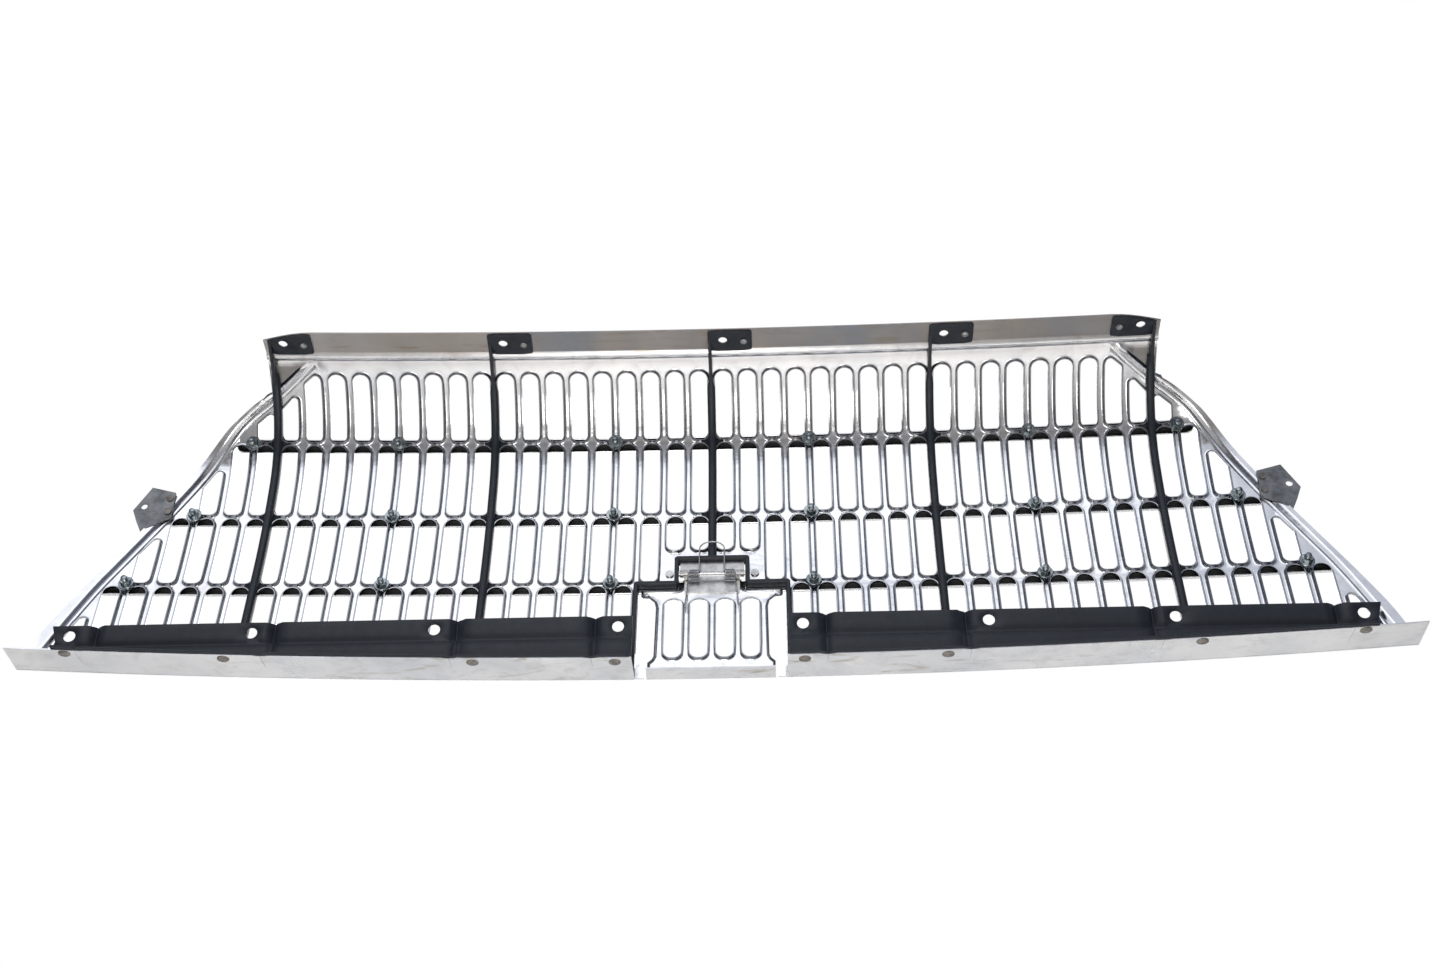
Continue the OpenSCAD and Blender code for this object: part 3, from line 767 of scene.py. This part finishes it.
def loose_points(rings, path, right):
    """Points that let the plain areas follow the sheet's curve."""
    boxes = []
    for ring in rings:
        xs = [p[0] for p in ring[-1]]
        ss = [p[1] for p in ring[-1]]
        boxes.append((min(xs) - 2, max(xs) + 2, min(ss) - 2, max(ss) + 2))
    out = []
    for i in range(-52, 53):
        for j in range(-23, 14):
            x, s = i * PITCH / 2, j * 9.0 + 1
            if not point_inside(x, s, right):
                continue
            if any(a < x < b and c < s < d for a, b, c, d in boxes):
                continue
            if min(math.dist((x, s), p) for p in path) < 19 and s < 113:
                continue
            out.append((x, s))
    return out


def point_inside(x, s, right):
    """True well inside the panel's outline and outside the flap's opening."""
    if abs(x) < OPENING_HALF + 4 and s < OPENING_TOP + 2.5 or abs(x) < NECK_HALF + 4 and s < NECK_TOP + 3:
        return False
    edge = [p[0] for p in right if abs(p[1] - s) < 9]
    return bool(edge) and abs(x) < min(edge) - 5 and -207 < s < 114


def fold_strip(bm, cols, side):
    """The lower fold and the bottom flange on one side of the flap."""
    rows = []
    for s in (*FOLD_STEPS, *(-SKIRT_LEN - BOTTOM_FLANGE * k / 5 for k in range(1, 6))):
        fold_half = side_half(max(s, -SKIRT_LEN))
        end = fold_half + (FLANGE_HALF - fold_half) * max(-s - SKIRT_LEN, 0.0) / BOTTOM_FLANGE
        scale = (end - OPENING_HALF) / (cols[-1] - OPENING_HALF)
        rows.append([place(side * (OPENING_HALF + (x - OPENING_HALF) * scale), s) for x in cols])
    loft(bm, rows, closed=False)


def rear_edge(x):
    """The top flange's rear edge, whose corners are cut on the slant."""
    cut = smoothstep((abs(x) - TOP_HALF + FLANGE_CUT_W) / (2 * FLANGE_CUT_W)) * 2
    return CROWN_LEN + TOP_FLANGE - 0.05 - (TOP_FLANGE - FLANGE_END_D) * cut


def top_flange(bm, cols):
    """The top fold with its rounded bead, and the flange with its bolt holes."""
    def lift(s):
        bead = FOLD_BEAD_H * math.sin(math.pi * min(max((s - 121) / 9, 0.0), 1.0))
        return bead - SHEET_T * smoothstep((s - 126) / 4)

    steps = [TOP_START, 121, 121.6, 122.2, 123, 124, 125, 126, 127, 128, 129, 130, 131.5]
    loft(bm, [[place(x, s, lift(s)) for x in cols] for s in steps], closed=False)
    outline = [(x, steps[-1]) for x in cols] + [(TOP_HALF, 136), (TOP_HALF, 140)]
    outline += [(x, rear_edge(x)) for x in reversed(cols)] + [(-TOP_HALF, 140), (-TOP_HALF, 136)]
    holes = [circle_points(hole_x(i), CROWN_LEN + TAB_MID, TAB_HOLE_R) for i in range(5)]
    loose = [(x, 146) for x in cols[1:-1] if all(abs(x - hole_x(i)) > 9 for i in range(5)) and abs(x) < 370]
    add_patch(bm, outline, holes, lambda x, s: place(x, s, -SHEET_T), loose)


# ---- Braces ----
def brace_at(i):
    return (2 - i) * BRACE_X


def tab_dir(i):
    return 1 if i == 4 else -1


def hole_x(i):
    return brace_at(i) + tab_dir(i) * 12


def rivet_x(i):
    return brace_at(i) + tab_dir(i) * 31


def brace_section(x, s):
    """Closed section of a brace at one place: a channel over the bar that flares at the crossbars."""
    flare = max(math.exp(-((s - c) / 4.6) ** 2) for c in CROSS)
    outer_one = abs(x) > TOP_HALF - 10
    half = 3.75 * (1 - (0.15 if outer_one else 0.62) * smoothstep((s - 92) / 12))
    tall = 8.2 - 1.2 * smoothstep((s - 98) / 10)
    side = [(0.0, tall), (0.45, tall - 0.12), (0.78, tall - 0.7), (0.97, tall - 2.0), (1.0, 4.6)]
    outer = [(half * u, h) for u, h in side]
    outer += [(half + 1.6 * flare, 3.2), (half + 4.4 * flare, 2.3), (half + 6.4 * flare, 2.0),
              (half + 6.4 * flare, 1.25)]
    ring = [(-u, h) for u, h in reversed(outer)] + outer[1:]
    return [place(x + u, s, h) for u, h in ring]


def build_brace(i, node):
    bm = bmesh.new()
    x = brace_at(i)
    foot = -87 if i == 2 else -203
    stops = set(range(int(foot), 109, 6)) | {foot, 108}
    for c in CROSS:
        if c > foot:
            stops |= {round(c + k * 1.5, 1) for k in range(-7, 8) if c + k * 1.5 > foot}
    loft(bm, [brace_section(x, s) for s in sorted(stops)])
    brace_fin(bm, x)
    side = tab_dir(i)
    body = finish_mesh(bm, node + "_channel", [BLACK], node=node, angle=50)
    soften(body, 0.5, 2, 50)
    tab = bmesh.new()
    a, b = (x - 1.6, x + TAB_W - 1.6) if side > 0 else (x - TAB_W + 1.6, x + 1.6)
    s1, s2 = CROWN_LEN + TAB_MID - TAB_D / 2, CROWN_LEN + TAB_MID + TAB_D / 2
    outline = [(px, min(ps, rear_edge(px) - 1)) for px, ps in rounded_box(a, s1, b, s2, 2.5)]
    holes = [circle_points(hole_x(i), CROWN_LEN + TAB_MID, TAB_HOLE_R, 32)]
    add_patch(tab, outline, holes, lambda px, ps: place(px, ps, 0.1))
    plate = finish_mesh(tab, node + "_tab", [BLACK], angle=40)
    thicken(plate, STEEL_T, -1 if mean_normal(plate).z > 0 else 1)
    soften(plate, 0.35, 2, 50)


def rounded_box(x1, s1, x2, s2, radius):
    out = []
    for cx, cs, start in ((x2 - radius, s2 - radius, 0), (x1 + radius, s2 - radius, 90),
                          (x1 + radius, s1 + radius, 180), (x2 - radius, s1 + radius, 270)):
        for turn in (0, 22.5, 45, 67.5, 90):
            t = math.radians(start + turn)
            out.append((cx + radius * math.cos(t), cs + radius * math.sin(t)))
    return resample(out, 6, closed=True)


def brace_fin(bm, x):
    """The upright fin between the crown's rear face and the tab."""
    def section_point(s, off):
        p = place(x, s, off)
        return Vector((0, p.y, p.z))
    inner = [section_point(s, 1.3) for s in (98, 104, 110, 116, 121)]
    outer = [section_point(CROWN_LEN + 6, 0.2), section_point(CROWN_LEN + TAB_MID - TAB_D / 2, 0.2),
             section_point(CROWN_LEN + TAB_MID + 1, 1.6), section_point(96, 7.6)]
    line = inner + outer
    half = 1.5 / 1000
    loft(bm, [[p + Vector((x / 1000 + k * half, 0, 0)) for p in line] for k in (-1, 1)])


def build_tab_rivets():
    bm = bmesh.new()
    for i in range(5):
        at = sheet_frame(rivet_x(i), CROWN_LEN + TAB_MID, 0)
        lathe(bm, at, [(2.2, 1.9), (3.1, 2.1), (3.1, 2.6), (2.8, 3.1), (2.4, 3.2), (2.1, 2.7), (1.9, 0.6)])
        lathe(bm, at, [(2.4, -1.3), (4.0, -1.35), (3.8, -1.9), (2.4, -2.5), (1.0, -2.7)])
    finish_mesh(bm, "tab_rivets", [PLATED], node="brace_rivets")


# ---- Cross mouldings, their studs, washers and nuts ----
def build_moulding(r, node):
    """A half-round bright channel in front of the sheet, with round ends."""
    bm = bmesh.new()
    half = MOULD_HALF[r]
    y, z, ny, nz = section(CROSS[r] - MOULD_DROP)
    base = -0.2
    arc = [math.radians(a) for a in range(-96, 97, 12)]
    stations = columns(-half + MOULD_R, half - MOULD_R, 20)
    ends = [half - MOULD_R + MOULD_R * math.sin(math.radians(a)) for a in (15, 30, 45, 60, 72, 82)]
    stations = [-x for x in reversed(ends)] + stations + ends
    rows = []
    for x in stations:
        over = max(0.0, abs(x) - half + MOULD_R)
        size = math.sqrt(max(MOULD_R ** 2 - over ** 2, 0.09)) / MOULD_R
        line = []
        for a in arc:
            up, ahead = MOULD_R * size * math.sin(a), MOULD_R * size * math.cos(a)
            ahead = max(ahead, -0.6)
            line.append(row(x, y + bow(x) - (ahead - base) * ny - up * nz, z - (ahead - base) * nz + up * ny))
        rows.append(line)
    loft(bm, rows, cap=False, closed=False)
    piece = finish_mesh(bm, node + "_trim", [POLISHED, LINING], node=node, angle=50)
    thicken(piece, 1.0, rearward(piece), 1)


def stud_frames():
    for r in range(3):
        for k in STUD_K[r]:
            for side in (1, -1):
                yield sheet_frame(side * k * PITCH, CROSS[r])


def build_fasteners():
    studs, washers, nuts = bmesh.new(), bmesh.new(), bmesh.new()
    nut_low = SHEET_T + LIP_H + 1.3
    for at in stud_frames():
        thread = [(2.15 if k % 2 else 2.5, nut_low + 2.6 + k * 0.4) for k in range(13)]
        lathe(studs, at, [(2.4, -6.2), (2.4, nut_low + 2.4)] + thread + [(1.7, nut_low + 7.8)], 16)
        lathe(washers, at, [(2.8, nut_low - 1.2), (6.5, nut_low - 1.2), (6.8, nut_low - 0.95),
                            (6.8, nut_low - 0.3), (6.5, nut_low), (2.8, nut_low)], 32)
        corner, flat = hexagon(4.0), hexagon(4.0, 4.15)
        lathe(nuts, at, [(2.4, nut_low + 0.05), (flat, nut_low + 0.05), (corner, nut_low + 0.55),
                         (corner, nut_low + 3.5), (flat, nut_low + 4.0), (2.7, nut_low + 4.0),
                         (2.3, nut_low + 3.6)], 36)
    finish_mesh(studs, "studs", [ZINC], node="moulding_studs", angle=30)
    finish_mesh(washers, "washers", [ZINC], node="stud_washers", angle=30)
    finish_mesh(nuts, "nuts", [ZINC], node="stud_nuts", angle=24)


# ---- Lower brackets ----
def bracket_line():
    """The bracket's section from the wall's top down the web to the foot's end, as (rearward, up)."""
    foot = sharp_section(-SKIRT_LEN)[1] + SHEET_T + 0.1
    return [(WALL_Y, BOLT_Z + 9.5), (WALL_Y, BOLT_Z - 10.4), (WALL_Y + 6.2, foot), (WALL_Y + 22, foot)]


@lru_cache(None)
def bracket_point(u):
    """Point and rearward normal of the section at a length u from the wall's top, its bends rounded."""
    line = bracket_line()
    lengths = [math.dist(a, b) for a, b in zip(line, line[1:])]

    def at(t):
        for (a, b), run in zip(zip(line, line[1:]), lengths):
            if t <= run or b == line[-1]:
                return (a[0] + (b[0] - a[0]) * t / run, a[1] + (b[1] - a[1]) * t / run)
            t -= run

    def soft(t):
        around = [at(t + 1.6 * k / 4) for k in range(-4, 5)]
        return sum(p[0] for p in around) / 9, sum(p[1] for p in around) / 9

    y, z = soft(u)
    (ya, za), (yb, zb) = soft(u - 0.2), soft(u + 0.2)
    run = math.hypot(yb - ya, zb - za)
    return y, z, -(zb - za) / run, (yb - ya) / run


WALL_LEN = 19.9
WEB_END = WALL_LEN + math.dist(*bracket_line()[1:3])
FOOT_LEN = 15.8


def bracket_place(x, u):
    """The wall is straight; the foot follows the flange, which is bowed and arched."""
    y, z, ny, nz = bracket_point(round(u, 2))
    groove = max(max(0.0, 1 - abs(abs(x) - g) / 7.5) for g in GROOVES)
    out = -4.4 * groove ** 1.1 * (1 - 0.7 * smoothstep((u - 14) / 12))
    rise = sagitta(x, ARCH_R) * min(max((u - WALL_LEN) / (WEB_END - WALL_LEN), 0.0), 1.0)
    reach = bow(x) * min(max((u - WEB_END) / FOOT_LEN, 0.0), 1.0)
    return row(x, y + reach + out * ny, z + rise + out * nz)


def slant(u):
    """The bracket's outer end at a length u: cut on the slant, with the web ending short of the wall."""
    return BRACKET_OUT - 6.0 * min(u, WALL_LEN) / WALL_LEN - 12.0 * smoothstep((u - WALL_LEN) / 3)


def build_bracket(side, node):
    bm = bmesh.new()
    total = WEB_END + FOOT_LEN
    xs = columns(BRACKET_IN, BRACKET_OUT, 12)
    for g in GROOVES:
        xs += [g + k for k in (-7.5, -5, -2.5, -1, 0, 1, 2.5, 5, 7.5)]
    xs = sorted(set(round(x, 2) for x in xs if BRACKET_IN <= x <= BRACKET_OUT))
    kept = [xs[0]]
    for x in xs[1:]:
        if x - kept[-1] > 0.9:
            kept.append(x)
    kept[-1] = BRACKET_OUT
    levels = [0, 5, 10, 14, 17.5, 19, 19.9, 20.8, 22.3, 25, 28, WEB_END - 1.6, WEB_END, WEB_END + 1.6,
              total - 7, total]
    outline = ([(x, 0) for x in kept[:-1]] + [(slant(u), u) for u in levels]
               + [(x, total) for x in reversed(kept) if x < slant(total) - 3]
               + [(BRACKET_IN, u) for u in reversed(levels[1:-1])])
    holes = [circle_points(x, 9.5, BOLT_R, 36) for x in BOLTS]
    loose = []
    for x in kept[1:-1]:
        for u in levels[1:-1]:
            if x < slant(u) - 4 and all(math.dist((x, u), (b, 9.5)) > BOLT_R + 2.2 for b in BOLTS):
                loose.append((x, u))
    add_patch(bm, outline, holes, lambda x, u: bracket_place(side * x, u), loose)
    piece = finish_mesh(bm, node + "_plate", [BLACK], node=node, angle=30)
    thicken(piece, STEEL_T, rearward(piece))
    soften(piece, 0.3, 2, 50)


def build_flange_rivets():
    bm = bmesh.new()
    low = sharp_section(-SKIRT_LEN)[1]
    for side in (1, -1):
        for x in RIVET_PLACES:
            under = row(side * x, RIVET_Y + bow(x), low + sagitta(x, ARCH_R))
            at = Matrix.Translation(under) @ Matrix.Scale(0.001, 4)
            lathe(bm, at, [(4.9, 0.05), (5.0, -0.4), (4.3, -0.9), (2.6, -1.1), (1.0, -1.15)])
            top = SHEET_T + STEEL_T + 0.1
            lathe(bm, at, [(2.3, top - 0.5), (4.2, top), (4.1, top + 0.6), (3.0, top + 1.3),
                           (1.0, top + 1.6)])
    finish_mesh(bm, "flange_rivets", [RIVET], node="bracket_rivets")


# ---- Flap, its strap, hinge and spring ----
def build_flap():
    bm = bmesh.new()
    body_half, foot_half, wing_half, neck = 2 * PITCH + 4, 54.0, 61.5, 25.5
    top, wing_low, neck_top, low = -121.3, -129.5, -110, FOLD_START
    rings = []
    for k in (-1.5, -0.5, 0.5, 1.5):
        made = slot_rings(k * PITCH, ROW_FOOT[3], -131.5, foot_r=ROUND_FOOT_R)
        rings.append(made)
        add_rings(bm, made)
    half = [(foot_half, low), (foot_half, -199), (50.5, -195.5), (body_half + 0.6, -192), (body_half, -140),
            (body_half + 1.5, -134), (54, wing_low - 0.6), (wing_half - 2, wing_low),
            (wing_half, wing_low + 2), (wing_half, top - 2), (wing_half - 2, top), (neck + 5, top),
            (neck + 2.3, top + 0.9), (neck + 0.6, top + 2.6), (neck, top + 5), (neck, neck_top)]
    cols = columns(-foot_half, foot_half, 9)
    half = resample(half, 6)
    edge = half + mirrored(half)
    outline = [(x, low) for x in cols[1:-1]] + edge
    chains = [inset_line(edge, d) for d in (0.7, 1.5, 2.6)]
    verts, origin, tris = triangulate(outline, [r[-1] for r in rings], chains)
    turned = {len(cols) - 2 + i: 2.2 for i in range(len(edge))}
    number = len(outline) + sum(len(r[-1]) for r in rings)
    for chain, tall in zip(chains, (1.1, 0.35, 0.0)):
        turned.update({number + i: tall for i in range(len(chain))})
        number += len(chain)
    # The turned edge takes painted shade, more where it stands taller
    lip_shade = bm.verts.layers.float["lip"]
    made = []
    for v, old in zip(verts, origin):
        tall = max([turned.get(i, 0.0) for i in old] or [0.0]) * smoothstep((v[1] - low - 2) / 8)
        made.append(bm.verts.new(place(v[0], v[1], tall)))
        made[-1][lip_shade] = 0.8 * smoothstep(tall / 1.5)
    for t in tris:
        bm.faces.new([made[i] for i in t])
    loft(bm, [[place(x, s) for x in cols] for s in (*FOLD_STEPS, -230, -238)], closed=False)
    flap = finish_mesh(bm, "flap_plate", [ALUMINIUM], body="flap_door", node="flap",
                       angle=40)
    crisp_borders(thicken(flap, SHEET_T, rearward(flap)))


def inset_line(line, distance):
    """An open line moved to its left by a small distance, without its two ends."""
    out = []
    for i, (x, s) in enumerate(line):
        a, b = line[max(i - 1, 0)], line[min(i + 1, len(line) - 1)]
        run = math.dist(a, b)
        out.append((x - (b[1] - a[1]) / run * distance, s + (b[0] - a[0]) / run * distance))
    return out[1:-1]


def build_frame_strap():
    """The black strap stands on edge round the opening, its corners bent to a small radius."""
    half = OPENING_HALF + 2.3
    line = [(half, -203), (half, -116.5), (31, -116.5), (31, -88.5)]
    line += mirrored(line)
    bent = [line[0]]
    for before, p, after in zip(line, line[1:], line[2:]):
        for other, cuts in ((before, (3.2, 1.6, 0.5)), (after, (0.5, 1.6, 3.2))):
            run = math.dist(p, other)
            bent += [tuple(u + (v - u) * k / run for u, v in zip(p, other)) for k in cuts]
    bent.append(line[-1])
    bm = bmesh.new()
    rows = []
    for i, (x, s) in enumerate(bent):
        a, b = bent[max(i - 1, 0)], bent[min(i + 1, len(bent) - 1)]
        run = math.dist(a, b)
        nx, ns = (b[1] - a[1]) / run, -(b[0] - a[0]) / run
        ring = []
        for across, off in ((-1.9, 1.7), (1.9, 1.7), (1.9, 7.9), (1.3, 8.5), (-1.3, 8.5), (-1.9, 7.9)):
            ring.append(place(x + nx * across, s + ns * across, off))
        rows.append(ring)
    loft(bm, rows)
    piece = finish_mesh(bm, "opening_strap", [BLACK], node="flap_frame", angle=40)
    soften(piece, 0.3, 2, 50)


def hinge_point(x, along, off):
    """A point by the hinge: x across, along the straight lower part upward, off behind the sheet."""
    return place(x, -BELLY_LEN + along, off)


def build_spring():
    """Two coils on the pin joined by a loop over the bars, each with a leg down on the flap."""
    bm = bmesh.new()
    wire, mean, turns = 0.62, 3.1, 8
    near, far, loop = 10.9, 20.1, 26
    for side in (1, -1):
        coil = []
        steps = turns * 16
        for k in range(steps + 1):
            t = 2 * math.pi * k / 16
            x = side * (near + (far - near) * k / steps)
            coil.append(hinge_point(x, HINGE_W + mean * math.sin(t), HINGE_OFF + mean * math.cos(t)))
        loop_start = [hinge_point(side * near, HINGE_W + a, HINGE_OFF + mean) for a in (loop, 18, 10, 4, 1)]
        crest = [hinge_point(side * near * math.cos(a), HINGE_W + loop + 8 * math.sin(a), HINGE_OFF + mean)
                 for a in (math.radians(d) for d in (90, 75, 60, 45, 30, 15))]
        leg = [hinge_point(side * (far + 3.2 * k / 8), HINGE_W - 34 * k / 8,
                           HINGE_OFF + mean - 5.2 * smoothstep(k / 4)) for k in range(1, 9)]
        tube(bm, crest + loop_start + coil + leg, wire / 1000, 10)
    finish_mesh(bm, "return_spring", [SPRING], node="hinge_spring")


def keep_nodes():
    """Small CAD pieces that stay, with rounded edges and their own metals."""
    kept = {"hinge_leaf": (PLATED, 0.3), "hinge_rivets": (PLATED, 0.5), "hinge_pin": (SPRING, 0.3),
            "flap_leaf": (PLATED, 0.3), "flap_stops": (ALUMINIUM, 0.35),
            "side_bracket_left": (GALVANISED, 0.3), "side_bracket_right": (GALVANISED, 0.3),
            "side_rivets": (RIVET, 0.4)}
    for name, (material, edge) in kept.items():
        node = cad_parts[name]
        node.data.materials.clear()
        node.data.materials.append(material)
        soften(node, edge, 2, 40)


# ---- Camera, light and floor ----
def build_camera():
    """The camera stands behind the grille and below it, looking up at its rear."""
    dip, yaw, roll = math.radians(32.64), math.radians(1.563), math.radians(-1.176)
    shift = Vector((-8.9, 0.71, 1643.5))
    base = Matrix(((-1, 0, 0), (0, -math.sin(dip), -math.cos(dip)), (0, -math.cos(dip), math.sin(dip))))
    turn = Matrix(((math.cos(yaw), 0, math.sin(yaw)), (0, 1, 0), (-math.sin(yaw), 0, math.cos(yaw))))
    tilt = Matrix(((math.cos(roll), -math.sin(roll), 0), (math.sin(roll), math.cos(roll), 0), (0, 0, 1)))
    view = tilt @ turn @ base
    centre = -(view.transposed() @ shift)
    data = bpy.data.cameras.new("camera")
    data.sensor_width = 36
    data.lens = 44.844
    data.clip_end = 60
    camera = bpy.data.objects.new("camera", data)
    axes = Matrix((view[0], -view[1], -view[2])).transposed().to_4x4()
    camera.matrix_world = Matrix.Translation(row(*centre)) @ axes
    bpy.context.scene.collection.objects.link(camera)
    bpy.context.scene.camera = camera


def area_light(name, place_at, aim, size, power, colour=(1, 1, 1), mirrored=True):
    data = bpy.data.lights.new(name, "AREA")
    data.shape = "RECTANGLE"
    data.size, data.size_y = size
    data.energy = power
    data.color = colour
    light = bpy.data.objects.new(name, data)
    light.location = place_at
    light.rotation_mode = "QUATERNION"
    light.rotation_quaternion = (Vector(aim) - Vector(place_at)).to_track_quat("-Z", "Y")
    light.visible_camera = False
    light.visible_glossy = mirrored
    bpy.context.scene.collection.objects.link(light)


def build_world():
    """White ahead of the car; elsewhere a room, brighter overhead and in an upright band in the middle."""
    world = bpy.data.worlds.new("studio")
    bpy.context.scene.world = world
    n = Nodes(world, "Generated")
    window = n.ramp(n.maths("ABSOLUTE", n.axis("X")),
                    (0.0, (1, 1, 1)), (0.20, (0.95, 0.96, 1.0)), (0.34, (0.30, 0.32, 0.37)),
                    (0.62, (0.16, 0.17, 0.20)), (0.85, (0.42, 0.44, 0.48)))
    height = n.ramp(n.between(n.axis("Z"), -1.0, 1.0),
                    (0.20, (0.16, 0.13, 0.11)), (0.48, (0.26, 0.24, 0.23)), (0.62, (0.62, 0.64, 0.70)),
                    (0.82, (0.86, 0.88, 0.92)), (1.0, (0.60, 0.63, 0.70)))
    room = n.mix(1.0, window, height, "MULTIPLY")
    seen = n.mix(n.between(n.axis("Y"), -0.30, -0.55), room, (1.0, 1.0, 1.0))
    background = n.tree.nodes["Background"]
    n.link(seen, background.inputs["Color"])
    background.inputs["Strength"].default_value = 1.0


def build_stage():
    bm = bmesh.new()
    bmesh.ops.create_grid(bm, x_segments=4, y_segments=4, size=9)
    mesh = bpy.data.meshes.new("floor")
    bm.to_mesh(mesh)
    bm.free()
    floor = bpy.data.objects.new("floor", mesh)
    floor.location = (0, 0, -1.35)
    bpy.context.scene.collection.objects.link(floor)
    mesh.materials.append(floor_paper())
    area_light("key", (0.9, 2.8, 2.0), (0, 0, 0.1), (3.2, 2.4), 19)
    area_light("front", (0.5, -2.8, 1.6), (0, 0, 0.1), (2.0, 2.0), 40)
    area_light("low_strip", (0.1, 1.25, -0.75), (0, 0, 0.22), (0.35, 0.7), 4, (1.0, 0.97, 0.92))
    # Two soft pools on the floor, which the crown and the bottom flange mirror
    area_light("floor_under", (0, 0.45, -0.45), (0, 0.25, -1.35), (1.7, 0.35), 18, (0.95, 0.97, 1.0), False)
    area_light("floor_ahead", (0, -2.5, 0.7), (0, -2.4, -1.35), (4.2, 1.8), 66, (0.90, 0.95, 1.0), False)


build_camera()
build_panel()
for index, name in enumerate(("brace_outer_left", "brace_inner_left", "brace_centre", "brace_inner_right",
                              "brace_outer_right")):
    build_brace(index, name)
build_tab_rivets()
for index, name in enumerate(("moulding_upper", "moulding_middle", "moulding_lower")):
    build_moulding(index, name)
build_fasteners()
build_bracket(1, "bracket_lower_left")
build_bracket(-1, "bracket_lower_right")
build_flange_rivets()
build_flap()
build_frame_strap()
build_spring()
keep_nodes()
build_world()
build_stage()
bpy.context.scene.view_settings.view_transform = "Standard"
